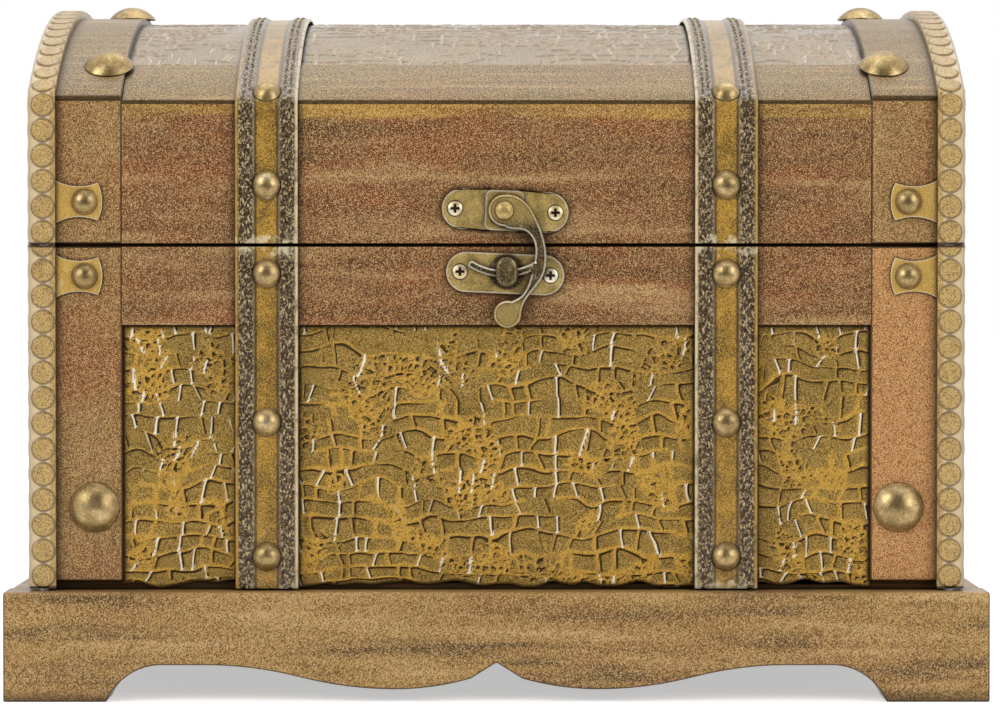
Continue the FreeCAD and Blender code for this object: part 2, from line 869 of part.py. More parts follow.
def hinges():
    half = hinge_width / 2
    middle = half / knuckle_count
    outer = [(-half, -middle - knuckle_gap), (middle + knuckle_gap, half)]
    inner = [(-middle, middle)]
    centres = (-hinge_offset, hinge_offset)
    save("hinge_leaves_body", group([leaf(x, -1, outer) for x in centres]))
    save("hinge_leaves_lid", group([leaf(x, 1, inner) for x in centres]))
    starts = [Vector(x - half, hinge_y, lid_line) for x in centres]
    save("hinge_pins", group([disc(pin_radius, start, Vector(hinge_width, 0, 0)) for start in starts]))


def all_screws():
    save("body_screws", group(screws("catch") + screws("hinge_body")))
    save("lid_screws", group(screws("hasp") + screws("hinge_lid")))


if __name__ == "__main__":
    os.makedirs("parts", exist_ok=True)
    body_carcass()
    plinth()
    body_cladding()
    lid_carcass()
    lid_cladding()
    brackets()
    body_bindings()
    lid_bindings()
    straps()
    studs()
    dome_nails()
    hasp_arm()
    hasp()
    catch()
    hinges()
    all_screws()
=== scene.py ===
import functools
import json
import math

import bmesh
import bpy
from bpy.props import FloatProperty, FloatVectorProperty, PointerProperty
from mathutils import Matrix, Vector, noise


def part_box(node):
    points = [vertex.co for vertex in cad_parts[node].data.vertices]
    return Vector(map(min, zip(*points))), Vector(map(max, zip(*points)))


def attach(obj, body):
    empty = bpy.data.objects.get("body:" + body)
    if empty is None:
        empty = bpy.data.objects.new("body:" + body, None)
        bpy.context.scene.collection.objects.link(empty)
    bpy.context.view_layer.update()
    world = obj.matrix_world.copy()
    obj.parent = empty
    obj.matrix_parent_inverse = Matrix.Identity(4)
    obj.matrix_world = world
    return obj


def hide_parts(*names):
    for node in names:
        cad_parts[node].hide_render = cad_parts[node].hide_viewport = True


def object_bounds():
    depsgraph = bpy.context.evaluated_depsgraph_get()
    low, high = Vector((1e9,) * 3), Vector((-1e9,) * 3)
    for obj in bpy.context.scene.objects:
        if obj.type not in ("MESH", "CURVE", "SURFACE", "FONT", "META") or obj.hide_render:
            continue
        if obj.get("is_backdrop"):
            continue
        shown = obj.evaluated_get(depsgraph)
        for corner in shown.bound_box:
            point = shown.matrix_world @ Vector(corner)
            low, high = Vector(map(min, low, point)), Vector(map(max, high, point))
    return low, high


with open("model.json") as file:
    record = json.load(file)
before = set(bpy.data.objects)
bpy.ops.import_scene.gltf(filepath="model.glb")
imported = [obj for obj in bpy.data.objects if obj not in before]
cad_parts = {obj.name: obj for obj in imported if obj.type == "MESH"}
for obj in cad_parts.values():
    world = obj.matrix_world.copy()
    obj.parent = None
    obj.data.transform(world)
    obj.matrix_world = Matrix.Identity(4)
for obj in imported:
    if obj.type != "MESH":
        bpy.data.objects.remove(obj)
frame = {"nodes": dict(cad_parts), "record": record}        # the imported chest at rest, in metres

# A barrel-lid keepsake chest: lacquered boards, crackled leather, stitched straps,
# embossed bindings and aged brass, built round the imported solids.

bl_info = {
    "name": "Keepsake chest",
    "version": (1, 0, 0),
    "blender": (4, 5, 0),
    "location": "View3D > Sidebar > Chest",
    "description": "Wood, leather and brass finishes for a barrel-lid keepsake chest",
    "category": "Object",
}

MM = 0.001
CAD_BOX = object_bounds()
BODY_OF = {node: body for body, nodes in frame["record"]["behaviour"]["bodies"].items() for node in nodes}
SLOT_OF = {row["node"]: row["material_slot"] for row in frame["record"]["subparts"]}
RIGHT = Vector((1, 0, 0))
FRONT = Vector((0, -1, 0))
UP = Vector((0, 0, 1))

WELD = 0.002 * MM  # points closer than this are one point
FLAT_ANGLE = math.radians(1)  # faces that turn by less are one flat
ARRIS_ANGLE = math.radians(40)  # edges that turn by more are rounded
SHARP_ANGLE = math.radians(20)  # turns that stay sharp on solids, and below on domes and skins
DOME_ANGLE = math.radians(50)
SKIN_ANGLE = math.radians(60)


def linear(code):
    """Linear colour of an sRGB hex code."""
    shares = [int(code[i:i + 2], 16) / 255 for i in (1, 3, 5)]
    return [c / 12.92 if c <= 0.04045 else ((c + 0.055) / 1.055) ** 2.4 for c in shares]


def size(name, description, millimetres):
    """A length that the panel shows, given in millimetres."""
    return FloatProperty(
        name=name,
        description=description,
        default=millimetres * MM,
        min=0,
        unit="LENGTH",
        subtype="DISTANCE",
    )


def colour(name, description, code):
    """A colour that the panel shows, given as an sRGB hex code."""
    return FloatVectorProperty(
        name=name,
        description=description,
        default=linear(code),
        size=3,
        min=0,
        max=1,
        subtype="COLOR",
    )


class ChestSizes(bpy.types.PropertyGroup):
    cell_length: size("Cell length", "Length of a cell of the crackled leather", 4.5)
    cell_height: size("Cell height", "Height of a cell of the crackled leather", 3.8)
    vein_height: size("Vein height", "How far the leather's veins stand up", 0.4)
    leather_step: size("Leather step", "Spacing of the leather's mesh", 0.4)
    lid_step: size("Lid leather step", "Spacing of the mesh of the lid's leather", 0.45)
    coin_pitch: size("Coin pitch", "Spacing of the coins along a binding", 5.7)
    coin_radius: size("Coin radius", "Radius of a coin", 2.55)
    coin_height: size("Coin height", "How far a coin stands up", 0.4)
    coin_inset: size("Coin inset", "Middle of a coin in from the corner of the binding", 3.2)
    binding_step: size("Binding step", "Spacing of a binding's mesh", 0.28)
    binding_corner: size("Binding corner", "Round of a binding's outer corner", 1.3)
    strap_edge: size("Strap edge", "Width of the rolled edge of a strap", 0.8)
    strap_border: size("Strap border", "Width of the dark border of a strap", 4.1)
    strap_step: size("Strap step", "Spacing of a strap's mesh", 0.3)
    stitch_pitch: size("Stitch pitch", "Spacing of the stitches", 2.7)
    stitch_length: size("Stitch length", "Length of one stitch", 1.7)
    stitch_width: size("Stitch width", "Width of the thread", 0.6)
    wood_ease: size("Wood ease", "Round on the boards' arrises", 0.35)
    brass_ease: size("Brass ease", "Round on the brass fittings' edges", 0.16)
    # The plates' rims and the arm's round ends are painted brighter: rubbed brass, and a painted highlight
    # as well.
    plate_rim: size("Plate rim", "Width of the rubbed rim of the clasp's plates", 0.35)
    arm_round: size("Arm round", "Height of the arm's round ends, which are rubbed brighter", 8)
    arm_rim: size("Arm rim", "Width of the raised rim of the clasp's arm", 0.35)
    arm_hollow: size("Arm hollow", "Depth of the hollow inside the arm's rim", 0.25)


class ChestColours(bpy.types.PropertyGroup):
    wood: colour("Wood", "Red-brown lacquer of the boards", "#794e2e")
    stile: colour("Stile", "Tan lacquer of the stiles", "#947043")
    sapwood: colour("Sapwood", "Paler lacquer of one front stile", "#d08f58")
    ruddy: colour("Ruddy", "Redder patches of the lacquer", "#8a4122")
    plinth: colour("Plinth", "Olive-brown lacquer of the plinth", "#a38149")
    fleck: colour("Fleck", "Gold flecks in the lacquer", "#d0ae79")
    # This dark also paints shade: in crevices, on arrises and grooves, beside raised parts, in creases,
    # stitch holes and screw slots.
    stain_and_shade: colour("Stain", "Dark stain in joints and inside the chest", "#2a1c10")
    speck: colour("Speck", "Brown specks in every lacquer", "#432a12")
    leather: colour("Leather", "Ground of the crackled leather", "#927536")
    vein: colour("Vein", "Level veins of the leather", "#d6a43e")
    # This pale colour also paints highlights: glints on the leather's upright veins, and pale patches and
    # edges on the brass.
    scuff_and_highlight: colour("Scuff", "Rubbed upright veins of the leather", "#ece2c8")
    gold: colour("Gold", "Gold middle of the straps", "#ad8636")
    border: colour("Border", "Dark borders of the straps", "#503a20")
    edge: colour("Edge", "Cream edges of the straps", "#d9cba6")
    thread: colour("Thread", "Stitches of the straps", "#bfae88")
    binding: colour("Binding", "Khaki leather of the bindings", "#c3a566")
    spandrel: colour("Spandrel", "Pale ground between the coins", "#e2cda8")
    brass: colour("Brass", "Aged brass", "#dcbb69")
    stud: colour("Stud", "Dull brass of the studs", "#bda06a")
    mustard: colour("Mustard", "Gilt paint of the brackets", "#d0a540")
    patina: colour("Patina", "Olive patina of the brass", "#6f5a26")
    paper: colour("Paper", "White floor", "#f2f2f2")


# Shapes

def ramp(low, high, value):
    """Smooth share from 0 at low to 1 at high."""
    share = min(max((value - low) / (high - low), 0), 1)
    return share * share * (3 - 2 * share)


def piece(name, mesh, material, like, *stands_for):
    """Makes an object of a mesh with one material, on the body of the node it is like, and hides the nodes
    it stands for.
    """
    data = bpy.data.meshes.new(name)
    mesh.to_mesh(data)
    mesh.free()
    data.materials.append(material)
    made = bpy.data.objects.new(name, data)
    bpy.context.scene.collection.objects.link(made)
    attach(made, BODY_OF[like])
    if stands_for:
        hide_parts(*stands_for)
    return made


def shade(mesh, limit):
    """Smooth faces that meet sharply where they turn by more than limit."""
    for face in mesh.faces:
        face.smooth = True
    for edge in mesh.edges:
        edge.smooth = edge.calc_face_angle(0) < limit


def solid_copy(node, whole=True):
    """A node's solids, with their flat faces whole if asked."""
    mesh = bmesh.new()
    mesh.from_mesh(frame["nodes"][node].data)
    bmesh.ops.remove_doubles(mesh, verts=mesh.verts, dist=WELD)
    if whole:
        bmesh.ops.dissolve_limit(mesh, angle_limit=FLAT_ANGLE, verts=mesh.verts, edges=mesh.edges)
    return mesh


def eased(node, width, whole=True):
    """A node's solids with rounded arrises, which carry the mark arris."""
    mesh = solid_copy(node, whole)
    mark = mesh.faces.layers.float.new("arris")
    arrises = [edge for edge in mesh.edges if edge.calc_face_angle(0) > ARRIS_ANGLE]
    rounded = bmesh.ops.bevel(
        mesh,
        geom=arrises,
        offset=width,
        affect="EDGES",
        segments=2,
        profile=0.5,
        material=-1,
        clamp_overlap=True,
    )
    for face in rounded["faces"]:
        face[mark] = 1
    shade(mesh, SHARP_ANGLE)
    return mesh


def rimmed(node, width):
    """A node's solids with a narrow rim round their front faces, which carries the mark arris."""
    mesh = solid_copy(node, False)
    mesh.normal_update()
    mark = mesh.faces.layers.float.new("arris")
    front = [face for face in mesh.faces if face.normal.dot(FRONT) > math.cos(FLAT_ANGLE)]
    for face in bmesh.ops.inset_region(mesh, faces=front, thickness=width, use_even_offset=True)["faces"]:
        face[mark] = 1
    shade(mesh, SHARP_ANGLE)
    return mesh


SLOT_SHARE = 0.7  # of a head's radius, that its slots lie within
SLOT_SINK = 0.3 * MM


def ringed(node, ring):
    """A node's round heads; out marks each point's share of its head's radius if a ring is asked, for a
    ring of painted shade at the rim and in the slots.
    """
    mesh = solid_copy(node, False)
    out = mesh.verts.layers.float.new("out")
    for group in islands(mesh):
        middle = sum((vert.co for vert in group), Vector()) / len(group)
        aways = [math.hypot(vert.co.x - middle.x, vert.co.z - middle.z) for vert in group]
        top = max(abs(vert.co.y) for vert in group)
        for vert, away in zip(group, aways):
            share = away / max(aways)
            sunk = share < SLOT_SHARE and top - abs(vert.co.y) > SLOT_SINK
            vert[out] = (1 if sunk else share) if ring else 0
    shade(mesh, SHARP_ANGLE)
    return mesh


def islands(mesh):
    """The separate solids of a mesh, as lists of points."""
    left = set(mesh.verts)
    while left:
        group = [left.pop()]
        for vert in group:
            for edge in vert.link_edges:
                other = edge.other_vert(vert)
                if other in left:
                    left.remove(other)
                    group.append(other)
        yield group


def seats(node):
    """Place, facing, radius and height of each domed head of a node."""
    mesh = solid_copy(node)
    found = []
    for group in islands(mesh):
        base = max({face for vert in group for face in vert.link_faces}, key=lambda face: face.calc_area())
        place = base.calc_center_median()
        facing = -base.normal
        radius = max((vert.co - place).length for vert in base.verts)
        height = max((vert.co - place).dot(facing) for vert in group)
        found.append((place.copy(), facing.copy(), radius, height))
    mesh.free()
    return sorted(found, key=lambda seat: [round(v / MM) for v in seat[0]])


def lathe(mesh, profile, place, facing, steps):
    """Spins a profile of (radius, height) pairs about an axis that stands at place."""
    old = set(mesh.verts)
    verts = [mesh.verts.new((radius, 0, height)) for radius, height in profile]
    edges = [mesh.edges.new(pair) for pair in zip(verts, verts[1:])]
    bmesh.ops.spin(
        mesh, geom=verts + edges, cent=(0, 0, 0), axis=UP, angle=2 * math.pi, steps=steps, use_merge=True
    )
    new = [vert for vert in mesh.verts if vert not in old]
    turn = UP.rotation_difference(facing).to_matrix().to_4x4()
    bmesh.ops.transform(mesh, matrix=Matrix.Translation(place) @ turn, verts=new)


def arch_of(node):
    """Height of the arch's axis and radius of the circle that a lid node's top follows."""
    points = [vert.co for vert in frame["nodes"][node].data.vertices]
    crest = max(point.z for point in points)
    half = max(point.y for point in points)
    rise = crest - max(point.z for point in points if half - point.y < WELD)
    radius = (half ** 2 + rise ** 2) / (2 * rise)
    return crest - radius, radius


CREASE_SOFTENING = 1.2 * MM  # half the length over which leather takes the crease of the lid
CREASE_TURN = 0.3  # change of facing that counts as that crease


def hoop(node, hem=0):
    """Route over the lid: turns a distance into a point of a node's face and the way it looks."""
    low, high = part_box(node)
    axis, radius = arch_of(node)
    swing = math.asin(high.y / radius)
    foot = low.z - hem
    upright = axis + radius * math.cos(swing) - foot
    total = 2 * upright + 2 * swing * radius

    def at(distance):
        over = distance - upright
        if over < 0:
            return Vector((0, -high.y, foot + distance)), FRONT
        if over > 2 * swing * radius:
            return Vector((0, high.y, foot + total - distance)), -FRONT
        turn = over / radius - swing
        facing = Vector((0, math.sin(turn), math.cos(turn)))
        return UP * axis + facing * radius, facing

    def softened(distance):
        before = at(max(distance - CREASE_SOFTENING, 0))
        middle = at(distance)
        after = at(min(distance + CREASE_SOFTENING, total))
        if (before[1] - after[1]).length < CREASE_TURN:
            return middle
        return (before[0] + 2 * middle[0] + after[0]) / 4, (before[1] + after[1]).normalized()

    return softened, total


def post(node, hem=0):
    """Upright route up a body node's outer face."""
    low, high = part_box(node)
    way = 1 if low.y > 0 else -1
    face = high.y if way > 0 else low.y
    return lambda distance: (Vector((0, face, low.z + distance)), -way * FRONT), high.z + hem - low.z


def sheet(columns, rows, depth, marks, place, hidden_columns=1):
    """A closed skin: place turns two shares of a grid into a point, its facing, a height and marks."""
    mesh = bmesh.new()
    bmesh.ops.create_grid(mesh, x_segments=columns, y_segments=rows, size=1)
    rim = [edge for edge in mesh.edges if edge.is_boundary]
    for part in bmesh.ops.extrude_edge_only(mesh, edges=rim)["geom"]:
        if isinstance(part, bmesh.types.BMVert):
            part.co.z = -1
    under = bmesh.ops.create_grid(mesh, x_segments=hidden_columns, y_segments=rows, size=1)["verts"]
    bmesh.ops.translate(mesh, verts=under, vec=-UP)
    last = 1 - 1 / rows - 1 / rows / 2
    ends = {face for vert in under for face in vert.link_faces if abs(face.calc_center_median().y) > last}
    bmesh.ops.delete(mesh, geom=list(ends), context="FACES")
    bmesh.ops.remove_doubles(mesh, verts=mesh.verts, dist=1 / rows / columns)
    bmesh.ops.holes_fill(mesh, edges=[edge for edge in mesh.edges if edge.is_boundary], sides=0)
    layers = [mesh.verts.layers.float.new(mark) for mark in marks]
    for vert in mesh.verts:
        point, facing, height, values = place((vert.co.x + 1) / 2, (vert.co.y + 1) / 2)
        vert.co = point + facing * (-depth if vert.co.z < 0 else height)
        for layer, value in zip(layers, values):
            vert[layer] = value
    bmesh.ops.recalc_face_normals(mesh, faces=mesh.faces)
    shade(mesh, SKIN_ANGLE)
    return mesh


# Crackled leather

LEATHER_MARKS = ("gap", "near", "glint", "gilt", "rim")
STRAP_LOW, STRAP_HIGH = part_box("strap_front_right")
STRAP_MIDDLE = (STRAP_LOW.x + STRAP_HIGH.x) / 2
STRAP_HALF = (STRAP_HIGH.x - STRAP_LOW.x) / 2
VEIN = 0.5 * MM  # half width of a raised vein
VEIN_TOP = 0.12 * MM  # half width of its flat top
GILT_REACH = 1.15 * MM  # how far the gilding of a vein spreads
DRIFT = 9 * MM  # pitch of the broad wander of the lines, and of their fine ripple
DRIFT_REACH = 3 * MM
RIPPLE = 3.5 * MM
RIPPLE_REACH = 0.5 * MM
LEVEL_RUN = 16 * MM  # about how long a level vein lasts
SMOOTH_PATCH = 13 * MM  # about the size of the places without veins
PEBBLE_PATCH = 9 * MM  # about the size of the places with pebbles, and of the gilded ones
GILT_PATCH = 18 * MM
JITTER_SHARE = 0.8  # of a cell, how far an upright vein is out of place
LEAN_SHARE = 0.8
PEBBLE_SHARE = 0.4  # size of a pebble to a cell
PEBBLE_STRENGTH_SHARE = 0.75
KEPT_RANGE = (-0.35, -0.05)  # noise over which an upright vein comes in, and so for the others
GLINT_RANGE = (-0.1, 0.15)
LEVEL_RANGE = (-0.4, -0.1)
SMOOTH_RANGE = (-0.5, -0.2)
PEBBLE_RANGE = (0.18, 0.35)
GILT_RANGE = (-0.35, 0.25)
LOW_GILT_SHARE = 0.35  # more gilding towards the foot of a panel
SIDE_GLINT_SHARE = 0.3  # more painted glints on the upright veins towards the sides of a panel
CREASE_SHARE = 0.5  # depth of a crease, and height of the soft swells, to a vein
SWELL_SHARE = 0.3
KEY_STEP = 1.13  # steps that spread the veins and their traits over the noise
KEPT_STEP = 2.3
JITTER_STEP = 3.7
LEAN_STEP = 5.3
GLINT_STEP = 7.9
COURSE_STEP = 1.7


@functools.cache
def upright_vein(number, row, seed):
    """Jitter, lean, strength and the noise for the painted glint of one upright vein between two level
    ones.
    """
    key = Vector((number, row, seed)) * KEY_STEP
    kept = ramp(*KEPT_RANGE, noise.noise(key * KEPT_STEP + UP))
    jitter = JITTER_SHARE * noise.noise(key * JITTER_STEP)
    lean = LEAN_SHARE * noise.noise(key * LEAN_STEP)
    return jitter, lean, kept, noise.noise(key * GLINT_STEP)


def brick(a, b, seed, length, height):
    """Gap to the nearest vein of the coursed cells, below zero on its shaded side, strength and glint."""
    course = b / height
    nearest = round(course)
    gap = (course - nearest) * height
    strength = ramp(*LEVEL_RANGE, noise.noise(Vector((a / LEVEL_RUN, nearest * COURSE_STEP, seed))))
    glint = None
    row = math.floor(course)
    first = math.floor(a / length)
    for number in (first - 1, first, first + 1, first + 2):
        jitter, lean, kept, rubbed_and_lit = upright_vein(number, row, seed)
        off = (number + jitter) * length + lean * (course - row - 1 / 2) * height - a
        if kept and (abs(off) < abs(gap) or not strength):
            gap, strength, glint = off, kept, rubbed_and_lit
    return gap, strength, glint


def pebble(a, b, seed, length, height):
    """Gap to the nearest border of the pebbles, below zero on its shaded side."""
    here = Vector((a / length, b / height, seed))
    first, second = noise.voronoi(here)[1][:2]
    way = second - first
    gap = ((first + second) / 2 - here).dot(way) / math.hypot(way.x / length, way.y / height)
    return -gap if way.y / height > way.x / length else gap


def wander(a, b, seed, pitch, reach):
    """How far the leather's lines stray at a place on the panel."""
    return reach * noise.noise(Vector((a / pitch, b / pitch, seed)))


def crackle(a, b, seed, sizes, low_share, side_share):
    """Height share and marks of the crackled leather at a place on the panel."""
    along = wander(a, b, seed, DRIFT, DRIFT_REACH) + wander(a, b, seed, RIPPLE, RIPPLE_REACH)
    up = wander(b, a, -seed, DRIFT, DRIFT_REACH) + wander(b, a, -seed, RIPPLE, RIPPLE_REACH)
    place = a + along / 2, b + up, seed
    gap, strength, rubbed_and_lit = brick(*place, sizes.cell_length, sizes.cell_height)
    strength *= ramp(*SMOOTH_RANGE, noise.noise(Vector((a, b, 0)) / SMOOTH_PATCH + UP * seed))
    pebbles = ramp(*PEBBLE_RANGE, noise.noise(Vector((b, a, 0)) / PEBBLE_PATCH - UP * seed))
    if pebbles:
        fine = pebble(*place, PEBBLE_SHARE * sizes.cell_length, PEBBLE_SHARE * sizes.cell_height)
        if abs(fine) < abs(gap):
            gap, strength, rubbed_and_lit = fine, pebbles * PEBBLE_STRENGTH_SHARE, None
    vein = strength * (1 - ramp(VEIN_TOP, VEIN, abs(gap)))
    near = strength * (1 - ramp(VEIN, 2 * VEIN, abs(gap)))
    glint = 0
    if rubbed_and_lit is not None:
        glint = ramp(*GLINT_RANGE, rubbed_and_lit + SIDE_GLINT_SHARE * (side_share - 1 / 2))
    patch = noise.noise(Vector((a, b, a)) / GILT_PATCH + UP * seed) + LOW_GILT_SHARE * (low_share - 1 / 2)
    gilt = ramp(*GILT_RANGE, patch) * (1 - ramp(0, GILT_REACH, abs(gap)))
    shaded_crease = near * (1 - ramp(-VEIN, 0, gap)) * (1 - vein)
    swell = noise.noise(Vector((a / sizes.cell_length, b / sizes.cell_height, -seed)))
    return vein - CREASE_SHARE * shaded_crease + SWELL_SHARE * swell, (gap / VEIN, near, glint, gilt)


LEATHER_SINK = 0.3 * MM  # hollows of the crackle below the panel's face
LEATHER_SWELL = LEATHER_SINK / 3  # rise of the ground inside the rim
LEATHER_DEPTH = 0.6 * MM
LEATHER_RIM = 1.2 * MM
HEM_WAVE = 6 * MM  # length of the waves in a ragged hem, and how far up the panel they reach
HEM_REACH = 4 * MM


def leather_panel(name, node, spread, at, seed, material, straps=True, ragged=0, flat_share=1):
    """A crackled panel; at turns a place on its width and height into a point and its facing."""
    sizes = bpy.context.scene.chest_sizes
    width, height = spread

    def place(across, along):
        a = (across - 1 / 2) * width
        b = along * height
        lift, marks = crackle(a, b, seed, sizes, 1 - along, abs(2 * across - 1))
        margin = min(a + width / 2, width / 2 - a, b, height - b)
        if straps:
            margin = min(margin, abs(abs(a) - STRAP_MIDDLE) - STRAP_HALF)
        raised = ramp(0, LEATHER_RIM, margin)
        wave = max(1 / 2 + noise.noise(Vector((a / HEM_WAVE, 0, seed))), 0)
        point, facing = at(a, b + ragged * wave * (1 - ramp(0, HEM_REACH, b)))
        rise = (flat_share * sizes.vein_height * lift + LEATHER_SWELL) * raised - LEATHER_SINK
        # The last mark, rim, is where the leather gets painted shade, along its edges and beside the
        # straps.
        return point, facing, rise, (*marks, 1 - raised)

    step = sizes.lid_step if node == "lid_leather" else sizes.leather_step
    columns = round(width / step)
    rows = round(height / step)
    mesh = sheet(columns, rows, LEATHER_DEPTH, LEATHER_MARKS, place)
    return piece(name, mesh, material, node)


# Embossed bindings

BINDING_MARKS = ("away", "side", "corner")
BINDING_DEPTH = 2 * MM
COIN_RIM = 0.5 * MM
INNER_EDGE = 0.7 * MM  # width of the turned down edge
DISH_SHARE = 0.3  # of a coin's height, how far its middle is dished
CORNER_DARK = 0.9 * MM
SEAM = 0.9 * MM  # dark line at each end of a binding
SEAM_DARK = 2  # strength of that line to the corner's
BINDING_HEM = 0.38 * MM  # the leather reaches this far over the lid line


def coin(u, v, sizes):
    """Height share and marks of the coined binding, u in from the corner and v along it."""
    off = (v / sizes.coin_pitch % 1 - 1 / 2) * sizes.coin_pitch
    inset = sizes.coin_inset - u
    away = sizes.coin_radius - math.hypot(inset, off)
    inside = ramp(-COIN_RIM / 2, COIN_RIM / 2, away)
    dish = DISH_SHARE * ramp(COIN_RIM, sizes.coin_radius, away)
    side = ramp(-sizes.coin_radius, 0, inset)
    plain = ramp(0, sizes.coin_radius, -inset) * ramp(0, sizes.coin_radius, -away + sizes.coin_radius / 2)
    corner = 1 - ramp(CORNER_DARK / 3, CORNER_DARK, u)
    return max(inside * (1 - dish), plain, corner), away / COIN_RIM, side, corner


def binding(node, route, total, sizes, material):
    """Coined leather that is bent round a corner, all along a route."""
    low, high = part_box(node)
    side = 1 if low.x > 0 else -1
    outer = max(abs(low.x), abs(high.x))
    width = high.x - low.x
    bend = sizes.binding_corner
    half = width - bend + bend * math.pi / 4

    def place(across, along):
        s = (2 * across - 1) * half
        point, facing = route(along * total)
        turn = min(max(math.pi / 4 + s / bend, 0), math.pi / 2)
        normal = facing * math.cos(turn) + RIGHT * side * math.sin(turn)
        straight = max(abs(s) - bend * math.pi / 4, 0)
        centre = point + RIGHT * side * (outer - bend) - facing * bend
        along_face = RIGHT * -side if s < 0 else -facing
        share, away, ground, corner = coin(abs(s), along * total, sizes)
        seam = 1 - ramp(SEAM / 3, SEAM, min(along, 1 - along) * total)
        turned = 1 - ramp(0, INNER_EDGE, half - abs(s))
        height = sizes.coin_height * (share - 1) - INNER_EDGE / 2 * turned
        marks = (away, ground, max(corner, SEAM_DARK * seam))
        return centre + normal * bend + along_face * straight, normal, height, marks

    columns = round(2 * half / sizes.binding_step)
    rows = round(total / sizes.binding_step)
    mesh = sheet(columns, rows, BINDING_DEPTH, BINDING_MARKS, place, hidden_columns=2)
    return piece("coined_" + node, mesh, material, node, node)


# Stitched straps

STRAP_MARKS = ("border", "edge", "cream", "groove", "hole", "end")
STRAP_DEPTH = 1.5 * MM
LID_STRAP_DEPTH = 0.7 * MM
ROW_STRETCH = 1.4  # spacing of the mesh along a strap to that across it
BORDER_RISE = 0.4 * MM
EDGE_BEAD = 0.3 * MM
BORDER_SLOPE = 0.35 * MM
POCKET = 0.25 * MM  # clear space round a stud's foot
HOLE_RADIUS = 0.5 * MM
HOLE_DEPTH = 0.3 * MM
WORN_END = 7 * MM
GROOVE = 0.8 * MM  # dark line along each side of the middle
STITCH_ROW_SHARES = (0.3, 0.68)  # rows across a border, in from the rolled edge
STITCH_LEAN = math.radians(14)


def stitch_rows(node, sizes):
    """Distance from the middle of a strap to each row of its stitches."""
    low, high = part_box(node)
    outer = (high.x - low.x) / 2 - sizes.strap_edge
    return [outer - share * (sizes.strap_border - sizes.strap_edge) for share in STITCH_ROW_SHARES]


def strap(node, route, total, studs, sizes, material):
    """A strap with a gold middle, raised dark borders, stitch holes and rolled edges."""
    low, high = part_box(node)
    middle = (low.x + high.x) / 2
    half = (high.x - low.x) / 2
    near = [seat for seat in studs if abs(seat[0].x - middle) < half]
    rows = stitch_rows(node, sizes)

    def place(across, along):
        u = (2 * across - 1) * half
        point, facing = route(along * total)
        point = point + RIGHT * (middle + u)
        inner = half - sizes.strap_border
        border = ramp(inner - BORDER_SLOPE, inner + BORDER_SLOPE, abs(u))
        edge = ramp(half - sizes.strap_edge, half - sizes.strap_edge + BORDER_SLOPE, abs(u))
        bead = math.sin(math.pi * min(max((abs(u) - half + sizes.strap_edge) / sizes.strap_edge, 0), 1))
        hole = 0
        for number, row in enumerate(rows):
            step = (along * total / sizes.stitch_pitch - number / 2) % 1
            off = min(step, 1 - step) * sizes.stitch_pitch
            hole = max(hole, 1 - ramp(HOLE_RADIUS / 2, HOLE_RADIUS, math.hypot(abs(u) - row, off)))
        height = BORDER_RISE * (border - 1) + EDGE_BEAD * (bead - edge) - HOLE_DEPTH * hole
        for seat, _, radius, _ in near:
            clear = ramp(radius, radius + POCKET, (point - seat).length)
            height = min(height, -BORDER_RISE * (1 - clear) + height * clear)
        cream = edge * (1 if u * middle < 0 else 0)
        groove = 1 - ramp(0, GROOVE, abs(abs(u) - inner + BORDER_SLOPE))
        end = 1 - ramp(0, WORN_END, min(along, 1 - along) * total)
        return point, facing, height, (border, edge, cream, groove, hole, end)

    columns = round(2 * half / sizes.strap_step)
    lines = round(total / sizes.strap_step / ROW_STRETCH)
    depth = LID_STRAP_DEPTH if node.startswith("lid") else STRAP_DEPTH
    mesh = sheet(columns, lines, depth, STRAP_MARKS, place)
    return piece("stitched_" + node, mesh, material, node, node)


def stitches(node, route, total, studs, sizes, material):
    """Rows of slanting stitches along both borders of a strap."""
    low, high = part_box(node)
    middle = (low.x + high.x) / 2
    count = int(total / sizes.stitch_pitch)
    mesh = bmesh.new()
    for side in (-1, 1):
        for row, out in enumerate(stitch_rows(node, sizes)):
            across = middle + side * out
            for number in range(count - row):
                distance = (number + (row + 1) / 2) * sizes.stitch_pitch
                point, facing = route(distance)
                point = point + RIGHT * across
                if any((point - seat[0]).length < seat[2] + sizes.stitch_length / 2 for seat in studs):
                    continue
                along = RIGHT.cross(facing)
                frame_turn = Matrix((RIGHT, along, facing)).transposed().to_4x4()
                lean = Matrix.Rotation(side * STITCH_LEAN, 4, "Z")
                girth = Matrix.Diagonal(
                    (sizes.stitch_width / 2, sizes.stitch_length / 2, sizes.stitch_width / 2, 1)
                )
                bmesh.ops.create_uvsphere(
                    mesh,
                    u_segments=6,
                    v_segments=5,
                    radius=1,
                    matrix=Matrix.Translation(point) @ frame_turn @ lean @ girth,
                )
    shade(mesh, math.pi)
    return piece("thread_" + node, mesh, material, node)


# Domed heads

DOME_STEPS = 9  # facets from the top of a dome to its foot, and round it
DOME_TURNS = 32
LIP = 0.25 * MM


def domes(node, material):
    """Every domed head of a node, each with a small lip at its foot."""
    mesh = bmesh.new()
    for place, facing, radius, height in seats(node):
        crown = height - LIP
        brim = radius - LIP / 2
        ball = (brim ** 2 + crown ** 2) / (2 * crown)
        half_turn = math.asin(brim / ball)
        profile = []
        for step in range(DOME_STEPS + 1):
            turn = half_turn * step / DOME_STEPS
            profile.append((ball * math.sin(turn), height - ball + ball * math.cos(turn)))
        profile += [(radius, LIP / 2), (radius, 0), (0, 0)]
        lathe(mesh, profile, place, facing, DOME_TURNS)
    bmesh.ops.remove_doubles(mesh, verts=mesh.verts, dist=WELD)
    bmesh.ops.recalc_face_normals(mesh, faces=mesh.faces)
    shade(mesh, DOME_ANGLE)
    return piece("domed_" + node, mesh, material, node, node)


# Finishes

